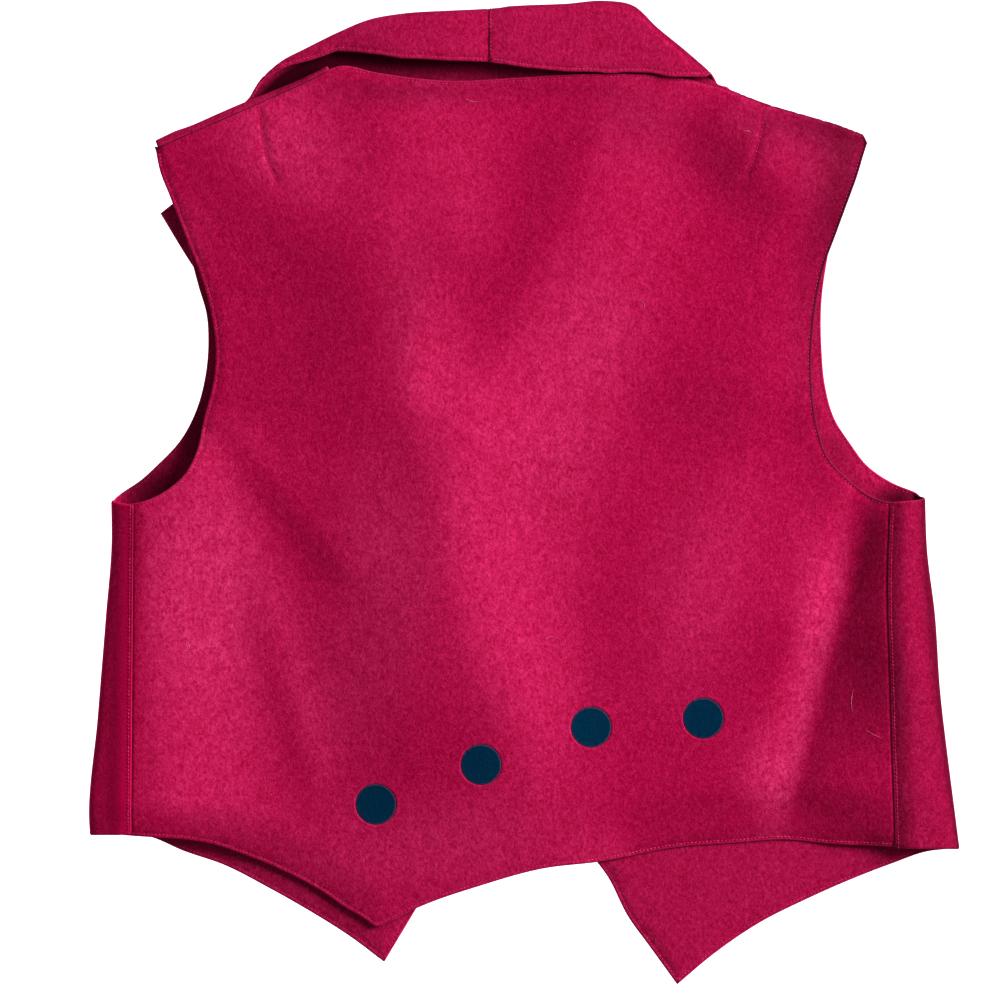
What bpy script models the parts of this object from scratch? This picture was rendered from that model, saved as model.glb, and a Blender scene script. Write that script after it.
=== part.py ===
"""A short sleeveless felt vest laid face down, seen from its back.

X is to the right, Y towards the collar, and Z up from the floor. Lengths are in millimetres inside this
script and in metres in the scene. Left and right are those of the view from above.
Each piece is cut flat: its outline is drawn in pattern coordinates, meshed, and then folded into place.
"""

import math

import bpy
import numpy as np
from mathutils.geometry import delaunay_2d_cdt
from mathutils.kdtree import KDTree

# Driving sizes, in millimetres.
CHEST_WIDTH = 486.0
FELT = 1.8
SEAM_GAP = 0.5
DISC_WIDTH = 24.0
DISC_GAP = 0.3
SIDE_LAP = 6.0
COLLAR_LAP = 5.1

# Where the photograph shows things: the pixels across the chest, and the pixel above the origin.
CHEST_PIXELS = 810.0
ORIGIN_PIXEL = (523.0, 491.5)
MM_PER_PIXEL = CHEST_WIDTH / CHEST_PIXELS

# Heights of a layer's middle above the floor.
FLOOR = FELT / 2
RAISED = FLOOR + FELT + 0.6
LAP = FELT + SEAM_GAP
BACK_BASE = RAISED + LAP + 0.2
ROLL = (RAISED - FLOOR) / 2

# Mesh spacing, in millimetres: along edges, on the back, on the fronts and on the collar.
EDGE_STEP = 10.0
BACK_STEP = 14.0
FRONT_STEP = 12.0
COLLAR_STEP = 11.0
DISC_SIDES = 32

# Outlines in pixels of the photograph: x, y.
LEFT_SHOULDER = [(154, 143), (179, 132), (223, 113), (268, 93), (301, 78), (328, 64)]
RIGHT_SHOULDER = [(684, 76), (729, 89), (762, 102), (806, 115), (840, 125), (864, 134)]
LEFT_BACK_ARMHOLE = [(156, 150), (160, 170), (170, 196), (185, 235), (202, 279), (211, 312), (216, 350),
                     (215, 372), (204, 421), (197, 453), (187, 473), (167, 491), (147, 501), (124, 505)]
RIGHT_BACK_ARMHOLE = [(899, 503), (888, 502), (874, 498), (851, 482), (827, 457), (819, 435), (811, 384),
                      (813, 322), (816, 300), (823, 268), (835, 235), (846, 205), (857, 175), (864, 152),
                      (867, 143)]
BACK_HEM = [(121, 834), (145, 836), (190, 840), (212, 844), (245, 855), (279, 869), (324, 893), (344, 907),
            (366, 920), (376, 927), (387, 923), (417, 908), (479, 886), (545, 868), (598, 862), (683, 847),
            (739, 843), (784, 840), (829, 844), (905, 847)]
BACK_NECK = [(684, 77), (630, 74), (566, 75), (515, 78), (451, 81), (420, 79), (377, 73), (338, 66.5),
             (330, 69)]
LEFT_FRONT_ARMHOLE = [(129, 488), (138, 482), (156, 466), (181, 439), (196, 410), (204.5, 379), (208, 340),
                      (206, 312), (199, 288), (192, 262), (176, 200), (162, 168), (154, 146)]
RIGHT_FRONT_ARMHOLE = [(862, 140), (858, 158), (852, 172), (836, 218), (827, 262), (822, 300), (822, 350),
                       (825, 383), (835, 419), (851, 444), (866, 464), (891, 482), (918, 493)]
LEFT_FRONT_HEM = [(106, 835), (145, 836), (185, 852), (223, 865), (268, 888), (312, 913), (350, 937),
                  (384, 962.5)]
RIGHT_FRONT_HEM = [(677.5, 985), (712, 956), (762, 922), (806, 900), (851, 880), (895, 863), (927, 852),
                   (952, 849)]
LEFT_FRONT_EDGE = [(384, 962.5), (416, 909), (545, 690)]
RIGHT_FRONT_EDGE = [(490, 690), (597, 862), (606, 874), (629, 918), (650, 947), (677.5, 985)]

# Where the two fronts cross, and the corners of the small area where both lie there.
CROSSING = (516, 607)
OVERLAP_AREA = [(516, 607), (545, 690), (518, 739), (490, 690)]

# The side outline and the seam of the strip that laps the back: x at each y, in pixels.
SIDE_LINE = {"left": [(113, 500), (113.5, 540), (107.5, 618), (99.5, 717), (91, 825), (92, 840)],
             "right": [(923, 496), (925, 550), (932, 610), (937, 685), (946, 760), (958, 849)]}
SEAM_LINE = {"left": [(134, 505), (132, 834)],
             "right": [(889, 503), (886, 600), (889, 700), (895, 847)]}
STRIP_TOP = {"left": 505, "right": 503}
STRIP_FOOT = {"left": 834, "right": 848}

# Side folds: reach of the under turn in millimetres, and as shares the height of the turn in the whole fold,
# the handle of the turn in the rise above it, and the handle of the top in the reach.
SIDE_FOLD = {"left": (10.0, 0.5, 0.8, 0.6), "right": (6.0, 0.62, 0.9, 0.8)}

# Lapels in pixels: where the roll line starts and ends, and the outer edge from tip to break.
ROLL_LINE = {"left": ((330, 78), (505, 575)), "right": ((682, 80), (526, 575))}
LAPEL_EDGE = {"left": [(505, 575), (400, 488), (290, 382), (194, 268), (160, 213)],
              "right": [(526, 575), (610, 496), (705, 392), (790, 282), (822, 225)]}

# Collar stations in pixels and millimetres, along its fold from the left end to the right end.
# outline x, outline y, under edge x, under edge y, width of the fall, roll, fall's drop per mm, under back
COLLAR_STATIONS = [
    (205, 137, 226, 160, 0, 0.0, 0.00, 0),
    (227, 117, 244, 145.6, 0, 0.0, 0.00, 0),
    (249, 97, 264, 129.5, 0, 0.0, 0.00, 0),
    (268, 71, 288, 110.3, 0, 0.0, 0.00, 0),
    (285, 58, 303, 98.3, 0, 0.6, 0.00, 0),
    (301, 50, 318, 86.3, 0, 1.2, 0.00, 0),
    (338, 32, 334, 73.5, 10.0, 2.4, 0.00, 0),
    (370, 19, 366, 83, 21.0, 3.6, -0.04, 1),
    (402, 13.4, 402, 87, 27.5, 4.4, -0.05, 1),
    (445, 10.4, 445, 91, 30.5, 4.6, -0.05, 1),
    (488.5, 7.4, 488.5, 91, 33.0, 4.6, -0.03, 1),
    (527, 5.0, 527, 88, 38.0, 4.4, 0.00, 1),
    (566, 3.5, 566, 85, 41.0, 4.1, 0.00, 1),
    (605, 0.5, 608, 84, 44.0, 4.1, 0.00, 1),
    (631, 4.5, 645, 84, 42.0, 4.2, 0.00, 1),
    (656, 27, 669, 74, 31.2, 4.4, 0.00, 0),
    (682, 48, 687, 82.5, 17.8, 4.2, 0.00, 0),
    (703, 66, 712, 109.8, 7.0, 3.2, 0.00, 0),
    (716, 77.5, 724, 122.1, 0, 2.4, 0.00, 0),
    (727, 86, 734, 132.3, 0, 0.0, 0.00, 0),
    (757, 115, 750, 148.6, 0, 0.0, 0.00, 0),
    (787, 143, 763.5, 162.4, 0, 0.0, 0.00, 0),
]
COLLAR_SEAM_STATION = 10
GORGE = {"left": [(330, 77), (160, 213)], "right": [(683, 81), (822, 225)]}

# What lies under each front and lifts it from the floor, in pixels.
LIFTED_BY = {
    "left": [
        [(330, 78), (160, 213), (194, 268), (290, 382), (400, 488), (505, 575)],
        [(345, 60), (301, 50), (249, 97), (205, 137), (226, 160), (330, 78)],
        OVERLAP_AREA,
    ],
    "right": [
        [(682, 80), (822, 225), (790, 282), (705, 392), (610, 496), (526, 575)],
        [(660, 60), (727, 86), (787, 143), (763, 163), (682, 80)],
        [(690, 76), (864, 134), (860, 150), (700, 100)],
    ],
}
LIFT_MARGIN = 4.0
LIFT_RAMP = 14.0

# Ridges of the back: start x, y and end x, y in pixels, then widths to the left and right, height and fade.
RIDGES = [
    (143, 476, 135, 800, 27, 101, 12.0, 50),
    (380, 250, 388, 400, 120, 100, 2.2, 80),
    (386, 235, 402, 370, 50, 28, 1.6, 60),
    (585, 190, 490, 410, 56, 100, 6.0, 110),
    (400, 420, 472, 690, 140, 80, 9.6, 110),
    (745, 400, 665, 600, 75, 60, 3.2, 120),
    (838, 205, 826, 380, 135, 60, 5.0, 55),
    (836, 490, 730, 790, 90, 40, 3.8, 90),
    (903, 490, 903, 650, 40, 150, 7.5, 80),
    (905, 650, 905, 780, 110, 150, 8.0, 60),
    (730, 122, 790, 190, 44, 60, 3.2, 28),
    (240, 150, 330, 240, 60, 80, 3.2, 80),
    (400, 130, 450, 230, 50, 60, 2.4, 70),
]

# The stretch of the back's hem that lies flat on a front: x and y in pixels, and how far it is pressed down
# there. Then the pixels that the pressing reaches into the back.
PRESSED_HEM = [(560, 866, 0), (640, 855, 1), (739, 843, 1), (800, 842, 1), (905, 847, 0)]
PRESSED_REACH = 62.0

# Shoulder darts in pixels.
DARTS = [[(258, 112), (263, 148), (268, 165), (275, 182)],
         [(762, 114), (761, 124), (758, 136), (754, 152), (745, 177)]]
DART_DEPTH = 0.6
DART_HALF_WIDTH = 3.0

DISC_CENTRES = [(376, 804), (481, 764), (591, 727), (703, 718)]
DISC_SINK = 0.4

CRIMSON = (0.58, 0.012, 0.10, 1.0)
NAVY = (0.006, 0.030, 0.055, 1.0)


def from_pixels(points):
    """Places in millimetres of pixels in the photograph."""
    pixels = np.array(points, float).reshape(-1, 2)
    return (pixels - ORIGIN_PIXEL) * (MM_PER_PIXEL, -MM_PER_PIXEL)


def across(pixels):
    """The x of one pixel column, in millimetres."""
    return (pixels - ORIGIN_PIXEL[0]) * MM_PER_PIXEL


def up(pixels):
    """The y of one pixel row, in millimetres."""
    return (ORIGIN_PIXEL[1] - pixels) * MM_PER_PIXEL


def smooth(value):
    """Runs from 0 to 1 with flat ends."""
    value = np.clip(value, 0.0, 1.0)
    return value * value * (3.0 - 2.0 * value)


def curve(points, step=EDGE_STEP):
    """A smooth path through the points, with a point at each of them and about one each step."""
    points = np.asarray(points, float)
    if len(points) < 3:
        count = max(1, round(float(np.linalg.norm(points[-1] - points[0])) / step))
        return points[0] + (points[-1] - points[0]) * np.linspace(0, 1, count + 1)[:, None]
    chord = np.linalg.norm(np.diff(points, axis=0), axis=1)
    slope = np.diff(points, axis=0) / chord[:, None]
    tangent = np.empty_like(points)
    tangent[0], tangent[-1] = slope[0], slope[-1]
    weight = (chord[:-1] + chord[1:])[:, None]
    tangent[1:-1] = (slope[:-1] * chord[1:, None] + slope[1:] * chord[:-1, None]) / weight
    path = []
    for i, length in enumerate(chord):
        count = max(1, round(length / step))
        s = (np.arange(count) / count)[:, None]
        path.append((1 + 2 * s) * (1 - s) ** 2 * points[i] + s * s * (3 - 2 * s) * points[i + 1]
                    + length * (s * (1 - s) ** 2 * tangent[i] - s * s * (1 - s) * tangent[i + 1]))
    path.append(points[-1:])
    return np.concatenate(path)


def photo_curve(points, step=EDGE_STEP):
    """A smooth path through pixels of the photograph, in millimetres."""
    return curve(from_pixels(points), step)


def at_height(table, y):
    """The x in millimetres of a line given in pixels, at heights y in millimetres."""
    line = photo_curve(table, 5.0)
    line = line[np.argsort(line[:, 1])]
    return np.interp(y, line[:, 1], line[:, 0])


def distance_outside(corners, x, y):
    """How far points lie from a polygon's edge, negative inside it."""
    points = np.column_stack((x, y))
    nearest = np.full(len(points), np.inf)
    inside = np.zeros(len(points), bool)
    for a, b in zip(corners, np.roll(corners, -1, axis=0)):
        along = b - a
        s = np.clip(((points - a) @ along) / (along @ along), 0, 1)
        nearest = np.minimum(nearest, np.linalg.norm(points - a - s[:, None] * along, axis=1))
        inside ^= crosses(a, b, points)
    return np.where(inside, -nearest, nearest)


def crosses(a, b, points):
    """Whether the edge from a to b crosses the ray to the right of each point."""
    between = (a[1] > points[:, 1]) != (b[1] > points[:, 1])
    rise = b[1] - a[1] if b[1] != a[1] else 1e-12
    return between & (points[:, 0] < (b[0] - a[0]) * (points[:, 1] - a[1]) / rise + a[0])


def within(corners, points):
    """Which points lie in the polygon."""
    inside = np.zeros(len(points), bool)
    for a, b in zip(corners, np.roll(corners, -1, axis=0)):
        inside ^= crosses(a, b, points)
    return inside


def refine(outline, surface, sag=0.08):
    """The outline with points added where the folded edge would leave the surface."""
    for _ in range(5):
        ahead = np.roll(outline, -1, axis=0)
        halfway = (outline + ahead) / 2
        bend = np.linalg.norm(surface(halfway) - (surface(outline) + surface(ahead)) / 2, axis=1)
        extra = np.flatnonzero((bend > sag) & (np.linalg.norm(ahead - outline, axis=1) > 0.8))
        outline = np.insert(outline, extra + 1, halfway[extra], axis=0)
    return outline


def back_height(x, y):
    """Height of the back's middle surface over the floor."""
    height = np.full(np.shape(x), BACK_BASE)
    for x0, y0, x1, y1, left, right, rise, fade in RIDGES:
        (start, end) = from_pixels([(x0, y0), (x1, y1)])
        along = end - start
        length = float(np.linalg.norm(along))
        along /= length
        dx, dy = x - start[0], y - start[1]
        s = dx * along[0] + dy * along[1]
        side = dy * along[0] - dx * along[1]
        width = np.where(side > 0, right, left) * MM_PER_PIXEL
        beyond = np.maximum(np.maximum(-s, s - length), 0) / (fade * MM_PER_PIXEL)
        height = height + rise * np.exp(-((side / width) ** 2) - beyond ** 2)
    return height + (FLOOR + LAP + 0.1 - height) * hem_press(x, y)


def hem_press(x, y):
    """1 where the back's hem is pressed down onto a front, and 0 away from it."""
    table = np.array(PRESSED_HEM, float)
    line = from_pixels(table[:, :2])
    hem = np.interp(x, line[:, 0], line[:, 1])
    share = smooth(np.interp(x, line[:, 0], table[:, 2]))
    return share * (1 - smooth((y - hem) / (PRESSED_REACH * MM_PER_PIXEL)))


def dart_depth(x, y):
    """How deep the dart's sewn lines sink the back."""
    points = np.column_stack((x, y))
    depth = np.zeros(len(points))
    for dart in DARTS:
        line = photo_curve(dart)
        nearest = np.full(len(points), np.inf)
        for a, b in zip(line[:-1], line[1:]):
            along = b - a
            s = np.clip(((points - a) @ along) / (along @ along), 0, 1)
            nearest = np.minimum(nearest, np.linalg.norm(points - a - s[:, None] * along, axis=1))
        depth = np.maximum(depth, DART_DEPTH * (1 - smooth(nearest / DART_HALF_WIDTH)))
    return depth


def front_height(side, x, y):
    """Height of a front's middle surface where it lies flat."""
    lift = np.zeros(len(x))
    for area in LIFTED_BY[side]:
        away = distance_outside(from_pixels(area), x, y)
        lift = np.maximum(lift, 1 - smooth((away - LIFT_MARGIN) / LIFT_RAMP))
    return FLOOR + (RAISED - FLOOR) * lift


class FoldLine:
    """A line on the pattern, with its direction, the direction out of the piece and a bow from straight."""

    def __init__(self, start, end, outward_hint, bow=None):
        self.start = start
        self.length = float(np.linalg.norm(end - start))
        self.along = (end - start) / self.length
        self.out = np.array((-self.along[1], self.along[0]))
        if self.out @ np.asarray(outward_hint, float) < 0:
            self.out = -self.out
        self.bow = None
        if bow is not None:
            rows = np.column_stack(((bow - start) @ self.along, (bow - start) @ self.out))
            self.bow = rows[np.argsort(rows[:, 0])]

    def split(self, q):
        """Distance along the line and distance beyond it, for pattern points."""
        along = (q - self.start) @ self.along
        return along, (q - self.start) @ self.out - self.offset(along)

    def offset(self, along):
        if self.bow is None:
            return np.zeros(np.shape(along))
        return np.interp(along, self.bow[:, 0], self.bow[:, 1])

    def place(self, along, beyond):
        """Points at these distances along the line and beyond it."""
        out = np.asarray(self.offset(along) + beyond)
        return self.start + np.multiply.outer(along, self.along) + np.multiply.outer(out, self.out)


def shoulder_line(table, inset, outward_hint):
    """The fold line that lies inside a shoulder's outline by the inset."""
    outline = photo_curve(table, 5.0)
    line = FoldLine(outline[0], outline[-1], outward_hint, outline)
    line.bow = line.bow - np.array((0.0, inset))
    return line


def left_shoulder_roll(line, along):
    """Radius of the left shoulder's fold, and the height where it starts."""
    axis = line.place(along, np.zeros(np.shape(along)))
    low = front_height("left", axis[:, 0], axis[:, 1])
    high = back_height(axis[:, 0], axis[:, 1]) + LAP
    return (high - low) / 2, low


LEFT_SHOULDER_INSET = (BACK_BASE + LAP - RAISED) / 2 + FELT / 2
RIGHT_SHOULDER_ROLL = (BACK_BASE - FLOOR) / 2
LEFT_SHOULDER_LINE = shoulder_line(LEFT_SHOULDER, LEFT_SHOULDER_INSET, (-1, 1))
RIGHT_SHOULDER_LINE = shoulder_line(RIGHT_SHOULDER, RIGHT_SHOULDER_ROLL + FELT / 2, (1, 1))


def roll_line(side):
    """The line where a front turns under as a lapel."""
    start, end = from_pixels(ROLL_LINE[side])
    return FoldLine(start, end, (1, 0) if side == "left" else (-1, 0))


def lapel_pattern(side, points):
    """Pattern places of a lapel's points, given where they lie once turned under."""
    line = roll_line(side)
    along, beyond = line.split(points)
    return line.place(along, -beyond + math.pi * ROLL)


def side_fold_sizes(side, y):
    """Sizes of the side fold at heights y: outline, reach, turn, top, its slope, and both lengths."""
    inward = 1.0 if side == "left" else -1.0
    low_reach, share, _, _ = SIDE_FOLD[side]
    outline = at_height(SIDE_LINE[side], y)
    seam = at_height(SEAM_LINE[side], y)
    reach = inward * (seam - outline) - SIDE_LAP - 1.5
    top_x = outline + inward * reach
    top = back_height(top_x, y) + LAP
    turn = FLOOR + share * (top - FLOOR)
    slope = (back_height(top_x + inward, y) - back_height(top_x - inward, y)) / 2
    low_length = math.pi / 2 * np.hypot(low_reach, turn - FLOOR) / math.sqrt(2)
    high_length = math.pi / 2 * np.hypot(reach, top - turn) / math.sqrt(2)
    return outline, reach, turn, top, slope, low_length, high_length


def strip_pattern(side, x, y):
    """Pattern x of a point of the strip that lies on the back."""
    inward = 1.0 if side == "left" else -1.0
    outline, reach, _, _, _, low_length, high_length = side_fold_sizes(side, y)
    past = inward * (x - outline) - reach
    return outline + inward * (SIDE_FOLD[side][0] - low_length - high_length - past)


def fold_side(side, x, y):
    """Where pattern points of a front lie, with its side turned up over the back."""
    inward = 1.0 if side == "left" else -1.0
    low_reach, _, turn_handle, top_handle = SIDE_FOLD[side]
    outline, reach, turn, top, slope, low_length, high_length = side_fold_sizes(side, y)
    w = inward * (x - outline)
    flat = front_height(side, x, y)
    angle = np.clip((low_reach - w) / low_length, 0, 1) * math.pi / 2
    plan = np.where(w > low_reach, w, low_reach * (1 - np.sin(angle)))
    height = np.where(w > low_reach, flat, flat + (turn - flat) * (1 - np.cos(angle)))
    s = np.clip((low_reach - low_length - w) / high_length, 0, 1)
    handle = top_handle * reach
    a, b, c, d = (1 - s) ** 3, 3 * s * (1 - s) ** 2, 3 * s * s * (1 - s), s ** 3
    rising = low_reach - low_length - w > 0
    plan = np.where(rising, c * (reach - handle) + d * reach, plan)
    side_rise = a * turn + b * (turn + turn_handle * (top - turn)) + c * (top - slope * handle) + d * top
    height = np.where(rising, side_rise, height)
    past = low_reach - low_length - high_length - w
    plan = np.where(past > 0, reach + past, plan)
    on_top = outline + inward * plan
    height = np.where(past > 0, back_height(on_top, y) + LAP, height)
    return np.column_stack((on_top, y, height))


def front_surface(side):
    """The folding of a front: flat on the floor, side turned up, lapel under, and the left shoulder over."""
    roll = roll_line(side)

    def place(q):
        places = fold_side(side, q[:, 0], q[:, 1])
        along, beyond = roll.split(q)
        turned = (beyond > 0) & (along > -1.0)
        angle = np.clip(beyond / ROLL, 0, math.pi)
        under = roll.place(along, np.where(angle < math.pi, ROLL * np.sin(angle), math.pi * ROLL - beyond))
        height = RAISED - ROLL * (1 - np.cos(angle))
        places[turned] = np.column_stack((under, height))[turned]
        if side == "left":
            along, beyond = LEFT_SHOULDER_LINE.split(q)
            over = (beyond > 0) & ~turned & (q[:, 1] > up(200))
            radius, low = left_shoulder_roll(LEFT_SHOULDER_LINE, along)
            angle = np.clip(beyond / radius, 0, math.pi)
            out = np.where(angle < math.pi, radius * np.sin(angle), math.pi * radius - beyond)
            plan = LEFT_SHOULDER_LINE.place(along, np.zeros(len(q))) + out[:, None] * LEFT_SHOULDER_LINE.out
            rolled = np.column_stack((plan, low + radius * (1 - np.cos(angle))))
            places[over] = rolled[over]
        return places

    return place


def back_surface(q):
    """The folding of the back: over the fronts, with its right shoulder rolled down."""
    height = back_height(q[:, 0], q[:, 1]) - dart_depth(q[:, 0], q[:, 1])
    places = np.column_stack((q, height))
    along, beyond = RIGHT_SHOULDER_LINE.split(q)
    rolled = (beyond > 0) & (q[:, 1] > up(160)) & (q[:, 0] > across(600))
    axis = RIGHT_SHOULDER_LINE.place(along, np.zeros(len(q)))
    angle = beyond / RIGHT_SHOULDER_ROLL
    plan = axis + (RIGHT_SHOULDER_ROLL * np.sin(angle))[:, None] * RIGHT_SHOULDER_LINE.out
    drop = RIGHT_SHOULDER_ROLL * (1 - np.cos(angle))
    lowered = np.column_stack((plan, back_height(axis[:, 0], axis[:, 1]) - drop))
    places[rolled] = lowered[rolled]
    return places


class Collar:
    """The collar's stations, as functions of the distance t along its fold."""

    def __init__(self):
        rows = np.array(COLLAR_STATIONS, float)
        self.outline = from_pixels(rows[:, 0:2])
        self.under = from_pixels(rows[:, 2:4])
        self.t = np.concatenate(([0], np.cumsum(np.linalg.norm(np.diff(self.outline, axis=0), axis=1))))
        self.fall, self.roll, self.drop, self.tucked = rows[:, 4:8].T
        path = curve(self.outline, 2.0)
        self.path = path
        self.path_t = self.path_distance(path)
        self.seam = self.t[COLLAR_SEAM_STATION]

    def path_distance(self, path):
        """The station distance of each path point, so that stations keep their own."""
        tree = KDTree(len(path))
        for i, point in enumerate(path):
            tree.insert((point[0], point[1], 0.0), i)
        tree.balance()
        marks = [tree.find((point[0], point[1], 0.0))[1] for point in self.outline]
        return np.interp(np.arange(len(path)), marks, self.t)

    def sections(self, t):
        """Outline, direction to the under edge, distance to it, inset of the fold, and roll at t."""
        outline = np.column_stack([np.interp(t, self.path_t, self.path[:, k]) for k in (0, 1)])
        under = np.column_stack([np.interp(t, self.t, self.under[:, k]) for k in (0, 1)])
        reach = np.linalg.norm(under - outline, axis=1)
        inward = (under - outline) / reach[:, None]
        roll = np.interp(t, self.t, self.roll)
        inset = roll * (1 + FELT / 2 / ROLL) * (roll < ROLL) + (roll + FELT / 2) * (roll >= ROLL)
        return outline, inward, reach, inset, roll

    def top_length(self, t):
        """Length of cloth past the fold's start, which is 0 where the collar has no fall on top."""
        roll, fall = self.roll, self.fall
        length = np.where(fall > 0, math.pi * roll + fall - roll - FELT / 2, 0.0)
        return np.interp(t, self.t, length)

    def under_length(self, t):
        _, _, reach, inset, _ = self.sections(t)
        return reach - inset

    def seam_bump(self, t):
        """1 at the collar's centre seam and 0 away from it."""
        return 1 - smooth((np.abs(t - self.seam - COLLAR_LAP / 2) - 4.0) / 34.0)

    def place(self, q):
        """Where pattern points lie: x is t, y is minus the distance under the fold."""
        t, m = q[:, 0], -q[:, 1]
        outline, inward, reach, inset, roll = self.sections(t)
        axis = outline + inward * inset[:, None]
        under = axis + inward * np.maximum(m, 0)[:, None]
        length = reach - inset
        end = axis + inward * length[:, None]
        rest = back_height(end[:, 0], end[:, 1]) - LAP - (FELT + 0.3) * self.seam_bump(t)
        rest = FLOOR + (rest - FLOOR) * np.interp(t, self.t, self.tucked)
        low = FLOOR + (rest - FLOOR) * smooth((m / length - 0.55) / 0.4)
        radius = np.maximum(roll, ROLL)
        angle = np.clip(-m / radius, 0, math.pi)
        past = np.maximum(-m - math.pi * radius, 0)
        plan = axis + inward * (past - radius * np.sin(angle))[:, None]
        drop = np.interp(t, self.t, self.drop)
        high = FLOOR + radius * (1 - np.cos(angle)) - drop * past
        plan = np.where((m > 0)[:, None], under, plan)
        return np.column_stack((plan, np.where(m > 0, low, high)))


def inner_points(rings, outline, holes, spacing, stride):
    """A triangular grid inside the outline, clear of the rings' points."""
    low, high = outline.min(axis=0), outline.max(axis=0)
    rise = spacing * math.sqrt(3) / 2
    rows, columns = int((high[1] - low[1]) / rise) + 2, int((high[0] - low[0]) / spacing) + 2
    j, i = np.meshgrid(np.arange(rows), np.arange(columns), indexing="ij")
    i, j = i.ravel(), j.ravel()
    grid = np.column_stack((low[0] + (i + 0.5 * (j % 2)) * spacing, low[1] + j * rise))
    if stride is not None:
        fine = stride(grid)
        coarse_rows = (j % 2 == 0) & ((i + (j // 2) % 2) % 2 == 0)
        grid = grid[fine | coarse_rows]
        reach = np.where(stride(grid), 0.5, 0.9) * spacing
    else:
        reach = np.full(len(grid), 0.5 * spacing)
    keep = within(outline, grid)
    for hole in holes:
        keep &= ~within(hole, grid)
    grid, reach = grid[keep], reach[keep]
    spots = np.concatenate([dense(ring, spacing * 0.4) for ring in rings])
    tree = KDTree(len(spots))
    for k, spot in enumerate(spots):
        tree.insert((spot[0], spot[1], 0.0), k)
    tree.balance()
    clear = [tree.find((p[0], p[1], 0.0))[2] > r for p, r in zip(grid, reach)]
    return grid[np.array(clear, bool)]


def dense(ring, step):
    """Points at least every step along a path."""
    parts = [ring[:1]]
    for a, b in zip(ring[:-1], ring[1:]):
        count = max(1, math.ceil(float(np.linalg.norm(b - a)) / step))
        parts.append(a + (b - a) * (np.arange(1, count + 1) / count)[:, None])
    return np.concatenate(parts)


def mesh_pattern(outline, holes, lines, spacing, stride=None):
    """Points and triangles of a flat pattern piece, counter-clockwise."""
    closed = [np.vstack((ring, ring[:1])) for ring in [outline, *holes]]
    lines = [clip_line(line, outline) for line in lines]
    lines = [line for line in lines if len(line) > 1]
    points, edges = [], []
    for ring, is_closed in [(r, True) for r in [outline, *holes]] + [(line, False) for line in lines]:
        first = len(points)
        points.extend(map(tuple, ring))
        count = len(ring)
        edges.extend((first + k, first + k + 1) for k in range(count - 1))
        if is_closed:
            edges.append((first + count - 1, first))
    points.extend(map(tuple, inner_points([*closed, *lines], outline, holes, spacing, stride)))
    flat, _, faces, _, _, _ = delaunay_2d_cdt(points, edges, [], 0, 1e-4)
    flat = np.array(flat)
    faces = np.array(faces)
    middle = flat[faces].mean(axis=1)
    keep = within(outline, middle)
    for hole in holes:
        keep &= ~within(hole, middle)
    faces = faces[keep]
    a, b, c = (flat[faces[:, k]] for k in range(3))
    area = (b[:, 0] - a[:, 0]) * (c[:, 1] - a[:, 1]) - (b[:, 1] - a[:, 1]) * (c[:, 0] - a[:, 0])
    faces = faces[np.abs(area) > 1e-6]
    area = area[np.abs(area) > 1e-6]
    faces[area < 0] = faces[area < 0][:, ::-1]
    used, index = np.unique(faces, return_inverse=True)
    return flat[used], index.reshape(-1, 3)


def clip_line(line, outline):
    """The points of a fold line that lie in the pattern, clear of its edge."""
    edge = dense(np.vstack((outline, outline[:1])), 1.0)
    inside = within(outline, line)
    clear = np.array([np.min(np.linalg.norm(edge - p, axis=1)) > 0.8 for p in line])
    keep = np.flatnonzero(inside & clear)
    return line[keep[0]:keep[-1] + 1] if len(keep) else line[:0]


def thicken(flat, faces, surface, offset=None):
    """Points and triangles of a closed wall of felt whose middle is the folded pattern."""
    step = 0.02
    middle = surface(flat)
    across_x = surface(flat + (step, 0)) - surface(flat - (step, 0))
    across_y = surface(flat + (0, step)) - surface(flat - (0, step))
    normal = np.cross(across_x, across_y)
    normal /= np.maximum(np.linalg.norm(normal, axis=1), 1e-12)[:, None]
    if offset is not None:
        middle = middle + normal * offset(flat)[:, None]
    count = len(flat)
    points = np.concatenate((middle + normal * FELT / 2, middle - normal * FELT / 2))
    pairs = np.concatenate((faces[:, [0, 1]], faces[:, [1, 2]], faces[:, [2, 0]]))
    forward = {tuple(pair) for pair in pairs.tolist()}
    rim = [pair for pair in pairs.tolist() if (pair[1], pair[0]) not in forward]
    sides = [(b, a, a + count) for a, b in rim] + [(b, a + count, b + count) for a, b in rim]
    return points, np.concatenate((faces, faces[:, ::-1] + count, np.array(sides)))


def add_part(name, points, faces, material):
    """One closed named object, with its faces outward."""
    corners = points[faces]
    volume = np.einsum("ij,ij->i", corners[:, 0], np.cross(corners[:, 1], corners[:, 2])).sum()
    if volume < 0:
        faces = faces[:, ::-1]
    mesh = bpy.data.meshes.new(name)
    mesh.from_pydata((points / 1000).tolist(), [], faces.tolist())
    mesh.shade_smooth()
    mesh.set_sharp_from_angle(angle=math.radians(50))
    mesh.materials.append(material)
    part = bpy.data.objects.new(name, mesh)
    bpy.context.scene.collection.objects.link(part)
    return part


def felt_material(name, colour):
    """A matt felt."""
    material = bpy.data.materials.new(name)
    material.use_nodes = True
    shader = material.node_tree.nodes["Principled BSDF"]
    shader.inputs["Base Color"].default_value = colour
    shader.inputs["Roughness"].default_value = 0.95
    shader.inputs["Metallic"].default_value = 0.0
    material.diffuse_color = colour
    return material


def circle(centre, radius):
    """A ring of points round a disc or its hole."""
    angle = np.linspace(0, 2 * math.pi, DISC_SIDES, endpoint=False)
    return centre + radius * np.column_stack((np.cos(angle), np.sin(angle)))


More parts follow.
